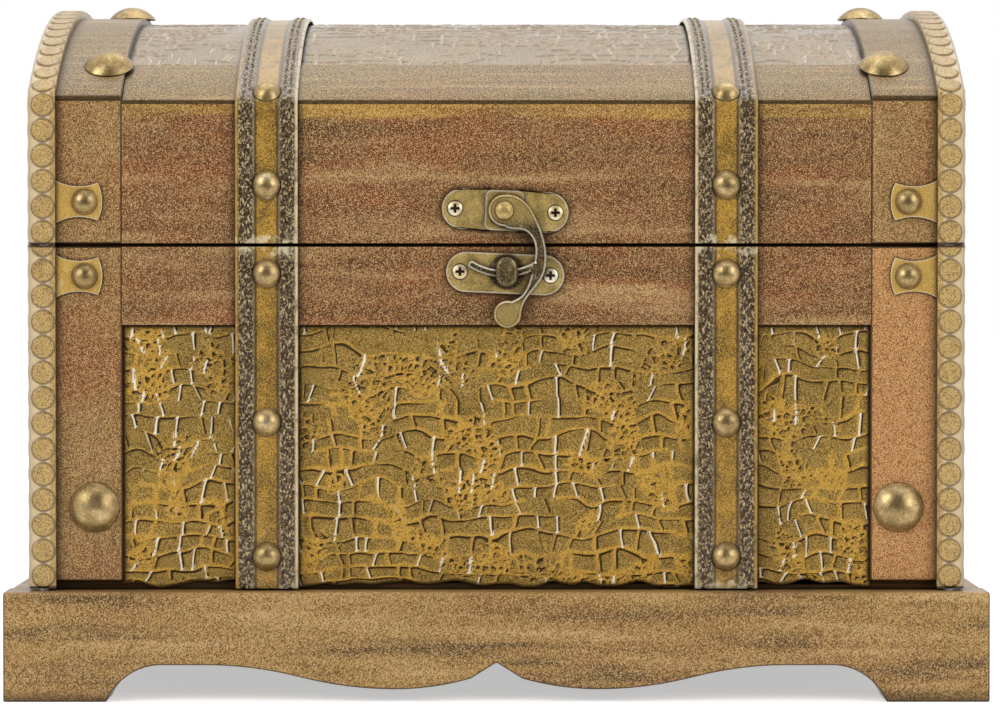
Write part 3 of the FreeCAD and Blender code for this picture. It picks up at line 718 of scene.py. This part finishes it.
def add(tree, kind, inputs, output=None, **settings):
    """Adds a node with its settings, fills or links its inputs and returns an output."""
    node = tree.nodes.new(kind)
    for key, value in settings.items():
        setattr(node, key, value)
    for key, value in inputs.items():
        named = [socket for socket in node.inputs if socket.enabled and socket.name == key]
        socket = node.inputs[key] if isinstance(key, int) else named[0]
        if isinstance(value, bpy.types.NodeSocket):
            tree.links.new(value, socket)
        elif socket.type == "RGBA":
            socket.default_value = (*value, 1)
        else:
            socket.default_value = value
    shown = [socket for socket in node.outputs if socket.enabled]
    return next((socket for socket in shown if socket.name == output), shown[0])


WARM_SHEEN = linear("#c8a880")  # leather and lacquer shine in their own colour unless seen on edge
LACQUER_ROUGHNESS = 0.3


def finish(name, marks, roughness, metallic=0, lacquer=0):
    """A material with the values that are the same all over, its tree, its shader and its marks."""
    material = bpy.data.materials.new(name)
    material.use_nodes = True
    tree = material.node_tree
    shader = tree.nodes["Principled BSDF"]
    shader.inputs["Roughness"].default_value = roughness
    shader.inputs["Metallic"].default_value = metallic
    if not metallic:
        shader.inputs["Specular Tint"].default_value = (*WARM_SHEEN, 1)
    shader.inputs["Coat Weight"].default_value = lacquer
    shader.inputs["Coat Roughness"].default_value = LACQUER_ROUGHNESS
    found = [add(tree, "ShaderNodeAttribute", {}, "Fac", attribute_name=mark) for mark in marks]
    return material, tree, shader, found


def paint(tree, base, coat, over, low, high, most=1):
    """A base under a coat of colour, which comes in as a value goes from low to high."""
    share = add(
        tree,
        "ShaderNodeMapRange",
        {"Value": over, "From Min": low, "From Max": high, "To Min": 0, "To Max": most},
        interpolation_type="SMOOTHSTEP",
    )
    return add(tree, "ShaderNodeMix", {"Factor": share, "A": base, "B": coat}, data_type="RGBA")


def where(tree, shares, value, *edges):
    """Product of shares and of a value's edges, each of which counts 0 at its low and 1 at its high."""
    factors = list(shares)
    for low, high in edges:
        reach = {"Value": value, "From Min": low, "From Max": high}
        factors.append(add(tree, "ShaderNodeMapRange", reach, interpolation_type="SMOOTHSTEP"))
    product = factors[0]
    for factor in factors[1:]:
        product = add(tree, "ShaderNodeMath", {0: product, 1: factor}, operation="MULTIPLY")
    return product


def grimed_and_shaded(tree, base, dirt_and_shade, reach, most):
    """Dark dirt and painted shade in the crevices, as strong as the surroundings hide each point."""
    openness = add(tree, "ShaderNodeAmbientOcclusion", {"Distance": reach}, "AO", samples=6)
    return paint(tree, base, dirt_and_shade, openness, low=0.96, high=0.48, most=most)


def dressed(tree, shader, base, relief, depth):
    """Gives a shader its colour and its fine relief."""
    tree.links.new(base, shader.inputs["Base Color"])
    normal = add(tree, "ShaderNodeBump", {"Height": relief, "Distance": depth, "Strength": 1})
    tree.links.new(normal, shader.inputs["Normal"])


def mottle(tree, sizes_mm, detail=3):
    """Noise with its own size along X, Y and Z, in millimetres."""
    place = add(tree, "ShaderNodeTexCoord", {}, "Object")
    scale = [1 / (value * MM) for value in sizes_mm]
    place = add(tree, "ShaderNodeMapping", {"Vector": place, "Scale": scale})
    look = {"Vector": place, "Scale": 1, "Detail": detail, "Roughness": 0.65}
    return add(tree, "ShaderNodeTexNoise", look)


SPECK_MM = 0.24  # a little coarser than real spray, so that it shows


def speckled(tree, base, light, dark, most):
    """A base sprayed with fine light and dark specks."""
    spray = mottle(tree, 3 * (SPECK_MM,), detail=1)
    base = paint(tree, base, light, spray, low=0.5, high=0.64, most=most)
    return paint(tree, base, dark, spray, low=0.5, high=0.36, most=most)


BOARD_GRIME_AND_SHADE = 4 * MM  # how far the dirt and painted shade reach out of the corners of each kind of piece
CRACKLE_GRIME_AND_SHADE = 1.6 * MM
STRAP_GRIME_AND_SHADE = 1.4 * MM
BRASS_GRIME_AND_SHADE = 1.3 * MM
BINDING_GRIME_AND_SHADE = 1.2 * MM
STAIN_RELIEF = 0.1 * MM  # fine relief of each kind of surface
GRAIN_RELIEF = 0.06 * MM
BRASS_RELIEF = 0.04 * MM


def lacquered_wood(name, tone, colours, grain_mm, redness, streaks=0, gilt=None):
    # Antiqued lacquer on board: streaked brown sprayed with gold, redder clouds and dark arrises, partly
    # dark paint and partly painted shade in the grooves between boards.
    material, tree, shader, marks = finish(name, ("pale", "arris"), roughness=0.45, lacquer=0.4)
    pale, arris = marks
    cloud = mottle(tree, (34, 34, 22))
    grain = mottle(tree, grain_mm)
    fleck = mottle(tree, (1.1, 1.1, 1.1), detail=4)
    base = paint(tree, tone, colours.ruddy, cloud, low=0.42, high=0.66, most=redness)
    base = paint(tree, base, colours.stain_and_shade, grain, low=0.5, high=0.8, most=0.6)
    base = paint(tree, base, colours.fleck, grain, low=0.46, high=0.2, most=0.5)
    broad = mottle(tree, [2 * value for value in grain_mm], detail=2)
    base = paint(tree, base, colours.stain_and_shade, broad, low=0.5, high=0.72, most=streaks)
    base = paint(tree, base, colours.fleck, broad, low=0.5, high=0.28, most=streaks)
    if gilt:
        place = add(tree, "ShaderNodeTexCoord", {}, "Object")
        height = add(tree, "ShaderNodeSeparateXYZ", {"Vector": place}, "Z")
        streak = mottle(tree, (40, 40, 3))
        band = where(tree, [streak], height, gilt)
        base = paint(tree, base, colours.mustard, band, low=0.3, high=0.62, most=0.65)
    base = paint(tree, base, colours.sapwood, pale, low=0, high=1, most=0.75)
    base = speckled(tree, base, colours.fleck, colours.speck, most=0.8)
    # dark paint on the arrises, which also stands in for the shade in the grooves between boards
    base = paint(tree, base, colours.stain_and_shade, arris, low=0, high=1, most=0.75)
    base = grimed_and_shaded(tree, base, colours.stain_and_shade, BOARD_GRIME_AND_SHADE, most=0.9)
    dressed(tree, shader, base, fleck, GRAIN_RELIEF)
    return material


def dark_stain(colours):
    # Bare board inside the chest, stained dark brown with a faint grain.
    material, tree, shader, _ = finish("dark stained board", (), roughness=0.6)
    grain = mottle(tree, (45, 45, 1.6))
    base = paint(tree, colours.stain_and_shade, colours.wood, grain, low=0.45, high=0.8, most=0.45)
    dressed(tree, shader, base, grain, STAIN_RELIEF)
    return material


# Edges of the lines on the leather, in half widths of a vein from its middle
TOP_EDGES = ((-0.5, -0.1), (0.6, 0.1))
CREASE_SHADOW_EDGES = ((-0.35, -0.6), (-1.35, -1))
SHINE_EDGES = ((-0.45, -0.3), (0.45, 0.3))


def crackled_leather(name, ground, vein, colours, lacquer, boldness):
    # Crackled lacquered leather: dull ground, gilded veins, painted highlights on upright ones, dark
    # creases with painted shadow on their shaded side.
    material, tree, shader, marks = finish(name, LEATHER_MARKS, roughness=0.4, lacquer=lacquer)
    gap, near, glint, gilt, rim = marks
    cloud = mottle(tree, (13, 13, 8))
    grain = mottle(tree, (0.7, 0.7, 0.7))
    top = where(tree, [near], gap, *TOP_EDGES)
    shaded_crease = where(tree, [near], gap, *CREASE_SHADOW_EDGES)
    shine = where(tree, [near, glint], gap, *SHINE_EDGES)
    base = paint(tree, ground, colours.patina, cloud, low=0.42, high=0.7, most=0.8)
    base = paint(tree, base, vein, gilt, low=0.1, high=0.9, most=0.8)
    base = paint(tree, base, vein, top, low=0, high=0.8, most=0.6)
    base = speckled(tree, base, colours.binding, colours.speck, most=0.75)
    # painted shadow on the shaded side of each vein, over the real crease cut there
    base = paint(tree, base, colours.stain_and_shade, shaded_crease, low=0, high=0.5, most=boldness)
    # painted highlight along the upright veins
    base = paint(tree, base, colours.scuff_and_highlight, shine, low=0.1, high=0.5, most=boldness)
    # painted shade along the panel's edges and beside the straps and frame
    base = paint(tree, base, colours.stain_and_shade, rim, low=0.2, high=1, most=0.9)
    base = grimed_and_shaded(tree, base, colours.stain_and_shade, CRACKLE_GRIME_AND_SHADE, most=0.85)
    dressed(tree, shader, base, grain, GRAIN_RELIEF)
    return material


def strap_leather(colours):
    # Strap leather: a gilded middle, dark grained borders, rolled edges and rubbed pale ends.
    name = "gilded strap leather"
    material, tree, shader, marks = finish(name, STRAP_MARKS, roughness=0.45, lacquer=0.9)
    border, edge, cream, groove, hole, end = marks
    cloud = mottle(tree, (6, 6, 9))
    grain = mottle(tree, (0.45, 0.45, 0.6), detail=2)
    wear = mottle(tree, (2.2, 2.2, 2.6))
    middle = paint(tree, colours.gold, colours.patina, cloud, low=0.4, high=0.62, most=0.9)
    middle = speckled(tree, middle, colours.vein, colours.speck, most=0.7)
    middle = paint(tree, middle, colours.stain_and_shade, groove, low=0.2, high=1, most=0.8)
    side = paint(tree, colours.border, colours.thread, grain, low=0.5, high=0.62, most=0.85)
    side = paint(tree, side, colours.stain_and_shade, grain, low=0.47, high=0.38, most=0.95)
    tinted = {"Factor": cream, "A": colours.gold, "B": colours.edge}
    rolled = add(tree, "ShaderNodeMix", tinted, data_type="RGBA")
    rolled = paint(tree, rolled, colours.border, wear, low=0.45, high=0.7, most=0.7)
    base = middle
    # Of these coats, the stitch holes' near black stands in for the shade inside them.
    for share, coat in ((border, side), (edge, rolled), (hole, colours.stain_and_shade)):
        base = add(tree, "ShaderNodeMix", {"Factor": share, "A": base, "B": coat}, data_type="RGBA")
    rubbed_and_lit = add(tree, "ShaderNodeMath", {0: end, 1: wear}, operation="MULTIPLY")
    base = paint(tree, base, colours.edge, rubbed_and_lit, low=0.42, high=0.6, most=0.75)
    base = grimed_and_shaded(tree, base, colours.stain_and_shade, STRAP_GRIME_AND_SHADE, most=0.85)
    dressed(tree, shader, base, grain, GRAIN_RELIEF)
    return material


def waxed_thread(colours):
    # Waxed thread, pale with darker turns, which are drawn as coarse as they need to show.
    material, tree, shader, _ = finish("waxed thread", (), roughness=0.55)
    turn = mottle(tree, (0.6, 0.6, 0.6), detail=2)
    base = paint(tree, colours.thread, colours.border, turn, low=0.42, high=0.56)
    tree.links.new(base, shader.inputs["Base Color"])
    return material


# Edges on the bindings: of a coin in rim widths in from its outline, and of the pale side in shares
COIN_OUTSIDE = (0.2, -0.6)
COIN_OUTLINE = ((-0.75, -0.25), (0.75, 0.25))
PALE_SIDE = (0, 0.8)


def binding_leather(colours):
    # Khaki leather embossed with coins, pale where the gilding stops short of the corner.
    name = "embossed binding leather"
    material, tree, shader, marks = finish(name, BINDING_MARKS, roughness=0.45, lacquer=0.6)
    away, side, corner = marks
    cloud = mottle(tree, (7, 7, 12))
    grain = mottle(tree, (0.8, 0.8, 0.8))
    outside = where(tree, [], away, COIN_OUTSIDE)
    ground = where(tree, [outside], side, PALE_SIDE)
    outline = where(tree, [], away, *COIN_OUTLINE)
    base = paint(tree, colours.binding, colours.stile, cloud, low=0.5, high=0.75, most=0.7)
    base = speckled(tree, base, colours.fleck, colours.speck, most=0.7)
    base = paint(tree, base, colours.spandrel, ground, low=0, high=1, most=0.8)
    base = paint(tree, base, colours.speck, outline, low=0, high=0.9, most=0.5)
    base = paint(tree, base, colours.stain_and_shade, corner, low=0.3, high=2, most=0.95)
    base = grimed_and_shaded(tree, base, colours.stain_and_shade, BINDING_GRIME_AND_SHADE, most=0.85)
    dressed(tree, shader, base, grain, GRAIN_RELIEF)
    return material


def aged_brass(name, metal, dull, colours, share, roughness, metallic=1, grit=0.25, rubbed_and_lit=0.6):
    # Cast and pressed brass with a dull patina, rubbed bright on its edges with a painted highlight there
    # and in pale patches, dark with dirt and painted shade in its hollows.
    material, tree, shader, marks = finish(name, ("arris", "lit", "out"), roughness, metallic)
    arris, lit, out = marks
    cloud = mottle(tree, (4, 4, 4), detail=4)
    pit = mottle(tree, (0.9, 0.9, 0.9))
    base = paint(tree, metal, dull, cloud, low=0.36, high=0.64, most=share)
    # painted highlight in pale patches
    base = paint(tree, base, colours.scuff_and_highlight, cloud, low=0.42, high=0.25, most=share)
    # edges rubbed bright, which is also a painted highlight
    base = paint(tree, base, colours.scuff_and_highlight, arris, low=0, high=1, most=rubbed_and_lit)
    base = paint(tree, base, colours.brass, lit, low=0, high=1, most=0.75)
    base = speckled(tree, base, colours.scuff_and_highlight, colours.stain_and_shade, most=grit)
    # painted shade: a dark ring at the rim of each screw head and in its slots
    base = paint(tree, base, colours.stain_and_shade, out, low=0.8, high=0.88, most=0.95)
    base = grimed_and_shaded(tree, base, colours.stain_and_shade, BRASS_GRIME_AND_SHADE, most=0.97)
    dressed(tree, shader, base, pit, BRASS_RELIEF)
    return material


# Operators

UPRIGHT_COSINE = 0.9  # past it a face looks nearly straight forward or back
GILT_BAND = 7 * MM  # height of the gilding along the top of the lid's panels
FINISH_OF = {  # cladding boards that differ from the plain panels
    "lid_front_panel": "gilt",
    "lid_back_panel": "gilt",
    "lid_crown_rails": "crown",
    "lid_band_left": "crown",
    "lid_band_right": "crown",
    "lid_stiles": "stile",
    "front_stiles": "stile",
    "back_stiles": "stile",
    "end_stiles": "stile",
}


def mark_faces(mesh, mark, chosen):
    """Sets a mark on the faces that a test chooses."""
    layer = mesh.faces.layers.float.get(mark) or mesh.faces.layers.float.new(mark)
    for face in mesh.faces:
        if chosen(face):
            face[layer] = 1


class CHEST_OT_woodwork(bpy.types.Operator):
    """Boards of the carcass, the plinth and the cladding, with eased arrises"""

    bl_idname = "chest.woodwork"
    bl_label = "Woodwork"

    def execute(self, context):
        sizes = context.scene.chest_sizes
        colours = context.scene.chest_colours
        inside = dark_stain(colours)
        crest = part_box("lid_front_panel")[1].z
        gilding = (crest - GILT_BAND, crest - GILT_BAND / 2)
        boards = {
            "plinth": (colours.plinth, {"grain_mm": (30, 30, 3), "redness": 0.35, "streaks": 0.6}),
            "stile": (colours.stile, {"grain_mm": (4, 4, 40), "redness": 0.7}),
            "crown": (colours.patina, {"grain_mm": (30, 2, 2), "redness": 0.25, "streaks": 0.2}),
            "panel": (colours.wood, {"grain_mm": (40, 40, 4), "redness": 0.95, "streaks": 0.45}),
        }
        boards["gilt"] = (colours.wood, {**boards["panel"][1], "redness": 0.9, "gilt": gilding})
        finishes = {}
        for kind, (tone, traits) in boards.items():
            finishes[kind] = lacquered_wood("lacquered %s board" % kind, tone, colours, **traits)
        for node, slot in SLOT_OF.items():
            if slot == "carcass_wood":
                look = inside
            elif slot == "plinth_wood":
                look = finishes["plinth"]
            elif slot == "cladding_wood":
                look = finishes[FINISH_OF.get(node, "panel")]
            else:
                continue
            mesh = eased(node, sizes.wood_ease)
            # The upright faces of the lid's curved boards get the dark arris paint too, partly as painted
            # shade under the crease.
            if node == "lid_crown_rails" or node.startswith("lid_band"):
                mark_faces(mesh, "arris", lambda face: abs(face.normal.y) > UPRIGHT_COSINE)
            if node == "front_stiles":
                mark_faces(mesh, "pale", lambda face: face.calc_center_median().x > 0)
            piece("finished_" + node, mesh, look, node, node)
        return {"FINISHED"}


RAGGED_HEM = 1.6 * MM
LID_FLAT_SHARE = 0.5  # of the veins' height, what is left on the lid
PANEL_SEEDS = {  # gives each panel a pattern of its own
    "front_leather": 0.4,
    "back_leather": 5.4,
    "left": 11.4,
    "right": 16.4,
    "lid_leather": 21.4,
}


class CHEST_OT_leather(bpy.types.Operator):
    """Crackled leather panels of the body and the lid"""

    bl_idname = "chest.leather"
    bl_label = "Crackled leather"

    def execute(self, context):
        colours = context.scene.chest_colours
        gilded = crackled_leather(
            "crackled leather", colours.leather, colours.vein, colours, lacquer=0, boldness=0.95
        )
        weathered = crackled_leather(
            "weathered crackled leather", colours.patina, colours.stile, colours, lacquer=1, boldness=0.3
        )
        low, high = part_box("front_leather")
        spread = (high.x - low.x, high.z - low.z)
        for node, way in (("front_leather", -1), ("back_leather", 1)):
            face = low.y if way < 0 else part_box(node)[1].y

            def upright(a, b, face=face, way=way):
                return Vector((-way * a, face, low.z + b)), -way * FRONT

            seed = PANEL_SEEDS[node]
            made = leather_panel("crackled_" + node, node, spread, upright, seed, gilded, ragged=RAGGED_HEM)
            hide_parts(node)
        low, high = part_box("end_leathers")
        spread = (high.y - low.y, high.z - low.z)
        for end, side in (("left", -1), ("right", 1)):

            def on_end(a, b, side=side):
                return Vector((side * high.x, side * a, low.z + b)), RIGHT * side

            made = leather_panel(
                "crackled_end_" + end,
                "end_leathers",
                spread,
                on_end,
                PANEL_SEEDS[end],
                gilded,
                straps=False,
                ragged=RAGGED_HEM,
            )
            if side > 0:
                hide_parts("end_leathers")
        low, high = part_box("lid_leather")
        axis, radius = arch_of("lid_leather")
        swing = math.asin(high.y / radius)

        def over(a, b):
            turn = b / radius - swing
            facing = Vector((0, math.sin(turn), math.cos(turn)))
            return UP * axis + facing * radius + RIGHT * a, facing

        made = leather_panel(
            "crackled_lid_leather",
            "lid_leather",
            (high.x - low.x, 2 * swing * radius),
            over,
            PANEL_SEEDS["lid_leather"],
            weathered,
            flat_share=LID_FLAT_SHARE,
        )
        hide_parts("lid_leather")
        return {"FINISHED"}


class CHEST_OT_bindings(bpy.types.Operator):
    """Coined leather bindings round the corners and over the lid's ends"""

    bl_idname = "chest.bindings"
    bl_label = "Bindings"

    def execute(self, context):
        material = binding_leather(context.scene.chest_colours)
        for node, slot in SLOT_OF.items():
            if slot == "binding_leather":
                follow = hoop if node.startswith("lid") else post
                route, total = follow(node, BINDING_HEM)
                binding(node, route, total, context.scene.chest_sizes, material)
        return {"FINISHED"}


class CHEST_OT_straps(bpy.types.Operator):
    """Stitched straps of the body and the lid"""

    bl_idname = "chest.straps"
    bl_label = "Straps"

    def execute(self, context):
        sizes = context.scene.chest_sizes
        material = strap_leather(context.scene.chest_colours)
        thread = waxed_thread(context.scene.chest_colours)
        studs = seats("body_studs") + seats("lid_studs")
        for node, slot in SLOT_OF.items():
            if slot == "strap_leather":
                route, total = hoop(node) if node.startswith("lid") else post(node)
                strap(node, route, total, studs, sizes, material)
                stitches(node, route, total, studs, sizes, thread)
        return {"FINISHED"}


class CHEST_OT_studs(bpy.types.Operator):
    """Brass studs and dome nails"""

    bl_idname = "chest.studs"
    bl_label = "Studs and dome nails"

    def execute(self, context):
        colours = context.scene.chest_colours
        material = aged_brass(
            "pressed brass",
            colours.stud,
            colours.patina,
            colours,
            share=0.7,
            roughness=0.33,
            metallic=0.75,
            grit=0.2,
        )
        for node in ("body_studs", "lid_studs", "body_dome_nails", "lid_dome_nails"):
            domes(node, material)
        return {"FINISHED"}


ARM_EASE_SHARE = 1.4  # round on the arm's edges to the round on other brass


class CHEST_OT_fittings(bpy.types.Operator):
    """Brass brackets, hinges, clasp and screws"""

    bl_idname = "chest.fittings"
    bl_label = "Brass fittings"

    def execute(self, context):
        sizes = context.scene.chest_sizes
        colours = context.scene.chest_colours
        brass = aged_brass(
            "cast brass", colours.brass, colours.patina, colours, share=0.6, roughness=0.34, metallic=0.4
        )
        pale = aged_brass(
            "screw brass", colours.scuff_and_highlight, colours.brass, colours, share=0.7, roughness=0.34, metallic=0.6
        )
        dark = aged_brass(
            "blackened brass",
            colours.patina,
            colours.stain_and_shade,
            colours,
            share=0.7,
            roughness=0.3,
            metallic=0.5,
            rubbed_and_lit=0.7,
        )
        gilt = aged_brass(
            "gilded plate", colours.mustard, colours.gold, colours, share=0.5, roughness=0.5, metallic=0.2
        )
        for node in ("body_corner_brackets", "lid_corner_brackets"):
            piece("finished_" + node, eased(node, sizes.brass_ease), gilt, node, node)
        for node in ("hinge_leaves_body", "hinge_leaves_lid", "hinge_pins"):
            piece("finished_" + node, eased(node, sizes.brass_ease), brass, node, node)
        for node in ("catch_plate", "hasp_plate"):
            piece("finished_" + node, rimmed(node, sizes.plate_rim), brass, node, node)
        for node in ("body_screws", "lid_screws", "hasp_rivet"):
            look = brass if node == "hasp_rivet" else pale
            piece("finished_" + node, ringed(node, look is pale), look, node, node)
        piece("finished_catch_eye", eased("catch_eye", sizes.brass_ease), dark, "catch_eye", "catch_eye")
        arm = eased("hasp_arm", ARM_EASE_SHARE * sizes.brass_ease, False)
        lit = arm.verts.layers.float.new("lit")
        low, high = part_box("hasp_arm")
        for vert in arm.verts:
            reach = min(high.z - vert.co.z, vert.co.z - low.z)
            vert[lit] = 1 - ramp(sizes.arm_round / 2, sizes.arm_round, reach)
        front = min(vert.co.y for vert in arm.verts)
        middle = [face for face in arm.faces if face.calc_center_median().y - front < WELD]
        bmesh.ops.inset_region(
            arm, faces=middle, thickness=sizes.arm_rim, depth=-sizes.arm_hollow, use_even_offset=True
        )
        piece("finished_hasp_arm", arm, dark, "hasp_arm", "hasp_arm")
        return {"FINISHED"}


# Stage

IMAGE = (1000, 713)  # pixels across and down
HORIZON = (496.5, 270.0)  # pixel that looks level and straight back
FOCAL_PIXELS = 3768.0
SENSOR = 36.0  # width in millimetres
NEAR_CLIP = 10 * MM
CAMERA = Vector((0, -913, 96.3)) * MM
FLOOR_HALF = 4.0
AIM = UP * 90 * MM  # point that the lights look at
LIGHTS = {  # place and size in metres, and power in watts, of each soft light
    "key_light": (Vector((-0.95, -0.9, 0.8)), 0.8, 7.5),
    "fill_light": (Vector((0.95, -0.9, 0.6)), 0.8, 5),
    "top_light": (Vector((0, 0.3, 1.15)), 1.0, 4),
}
SKY_LIGHT = 0.55  # of a white sky, what falls on the chest
PAPER_GLOW = 0.5  # lifts the floor to white where it is looked at
CARDS = (  # name, place, half sizes and lean of each dark card
    ("dark_card", Vector((0, -1.4, 0.9)), (1.0, 1.0), math.pi / 2),
    ("dark_floor_card", Vector((0, -0.85, 0.004)), (0.8, 0.55), 0),
)


class CHEST_OT_stage(bpy.types.Operator):
    """White floor, soft studio light and the camera"""

    bl_idname = "chest.stage"
    bl_label = "Stage"

    def execute(self, context):
        scene = context.scene
        scene.view_settings.view_transform = "Standard"
        self.floor(scene)
        self.sky(scene)
        self.cards(scene)
        for name, (place, width, watts) in LIGHTS.items():
            lamp = bpy.data.lights.new(name, "AREA")
            lamp.size = width
            lamp.energy = watts
            stand = bpy.data.objects.new(name, lamp)
            stand.location = place
            stand.rotation_euler = (AIM - place).to_track_quat("-Z", "Y").to_euler()
            scene.collection.objects.link(stand)
        lens = bpy.data.cameras.new("camera")
        lens.sensor_width = SENSOR
        lens.lens = SENSOR * FOCAL_PIXELS / IMAGE[0]
        lens.clip_start = NEAR_CLIP
        camera = bpy.data.objects.new("camera", lens)
        camera.location = CAMERA
        pitch = math.atan((IMAGE[1] / 2 - HORIZON[1]) / FOCAL_PIXELS)
        yaw = math.atan((HORIZON[0] - IMAGE[0] / 2) / FOCAL_PIXELS)
        camera.rotation_euler = (math.pi / 2 - pitch, 0, yaw)
        scene.collection.objects.link(camera)
        scene.camera = camera
        return {"FINISHED"}

    def floor(self, scene):
        """A floor of white paper."""
        # Matt white paper that looks white to the camera and to the brass, and keeps the shadow.
        material, tree, shader, _ = finish("white paper", (), roughness=0.9)
        shader.inputs["Base Color"].default_value = (*scene.chest_colours.paper, 1)
        glow = add(tree, "ShaderNodeMath", {0: self.seen(tree), 1: PAPER_GLOW}, operation="MULTIPLY")
        shader.inputs["Emission Color"].default_value = (1, 1, 1, 1)
        tree.links.new(glow, shader.inputs["Emission Strength"])
        self.flat(scene, "floor", Vector(), (FLOOR_HALF, FLOOR_HALF), 0, material)

    def cards(self, scene):
        """Dark studio cards behind the camera and under it, which are only seen reflected."""
        # Matt card, dark brown, that gives the brass its dark streak.
        material, _, shader, _ = finish("dark card", (), roughness=0.9)
        shader.inputs["Base Color"].default_value = (*scene.chest_colours.stain_and_shade, 1)
        for name, place, half, lean in CARDS:
            card = self.flat(scene, name, place, half, lean, material)
            card.visible_camera = False
            card.visible_diffuse = False
            card.visible_shadow = False

    def flat(self, scene, name, place, half, lean, material):
        """A flat sheet of the stage, which leans about X."""
        mesh = bmesh.new()
        stand = Matrix.Translation(place) @ Matrix.Rotation(lean, 4, "X") @ Matrix.Diagonal((*half, 1, 1))
        bmesh.ops.create_grid(mesh, x_segments=1, y_segments=1, size=1, matrix=stand)
        data = bpy.data.meshes.new(name)
        mesh.to_mesh(data)
        mesh.free()
        data.materials.append(material)
        made = bpy.data.objects.new(name, data)
        scene.collection.objects.link(made)
        made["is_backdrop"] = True
        return made

    def seen(self, tree):
        """1 for rays from the camera, and for reflected and transmitted ones."""
        total = 0
        for rays in ("Is Camera Ray", "Is Glossy Ray", "Is Transmission Ray"):
            share = add(tree, "ShaderNodeLightPath", {}, rays)
            total = add(tree, "ShaderNodeMath", {0: total, 1: share}, operation="ADD", use_clamp=True)
        return total

    def sky(self, scene):
        """A sky that looks white and lights the chest softly."""
        world = bpy.data.worlds.new("studio")
        world.use_nodes = True
        tree = world.node_tree
        background = tree.nodes["Background"]
        background.inputs["Color"].default_value = (1, 1, 1, 1)
        strength = add(
            tree,
            "ShaderNodeMapRange",
            {"Value": self.seen(tree), "From Min": 0, "From Max": 1, "To Min": SKY_LIGHT, "To Max": 1},
        )
        tree.links.new(strength, background.inputs["Strength"])
        scene.world = world


class CHEST_PT_panel(bpy.types.Panel):
    bl_idname = "CHEST_PT_panel"
    bl_label = "Keepsake chest"
    bl_space_type = "VIEW_3D"
    bl_region_type = "UI"
    bl_category = "Chest"

    def draw(self, context):
        for operator in OPERATORS:
            self.layout.operator(operator.bl_idname)
        for group in (context.scene.chest_sizes, context.scene.chest_colours):
            for name in group.__annotations__:
                self.layout.prop(group, name)


OPERATORS = (
    CHEST_OT_woodwork,
    CHEST_OT_leather,
    CHEST_OT_bindings,
    CHEST_OT_straps,
    CHEST_OT_studs,
    CHEST_OT_fittings,
    CHEST_OT_stage,
)
CLASSES = (ChestSizes, ChestColours, *OPERATORS, CHEST_PT_panel)


def register():
    for item in CLASSES:
        bpy.utils.register_class(item)
    bpy.types.Scene.chest_sizes = PointerProperty(type=ChestSizes)
    bpy.types.Scene.chest_colours = PointerProperty(type=ChestColours)


def unregister():
    del bpy.types.Scene.chest_colours
    del bpy.types.Scene.chest_sizes
    for item in reversed(CLASSES):
        bpy.utils.unregister_class(item)


def main():
    register()
    bpy.ops.chest.woodwork()
    bpy.ops.chest.leather()
    bpy.ops.chest.bindings()
    bpy.ops.chest.straps()
    bpy.ops.chest.studs()
    bpy.ops.chest.fittings()
    bpy.ops.chest.stage()
    boxes = {"cad": CAD_BOX, "visual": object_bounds()}
    plain = {name: [list(corner) for corner in box] for name, box in boxes.items()}


if __name__ == "__main__":
    main()
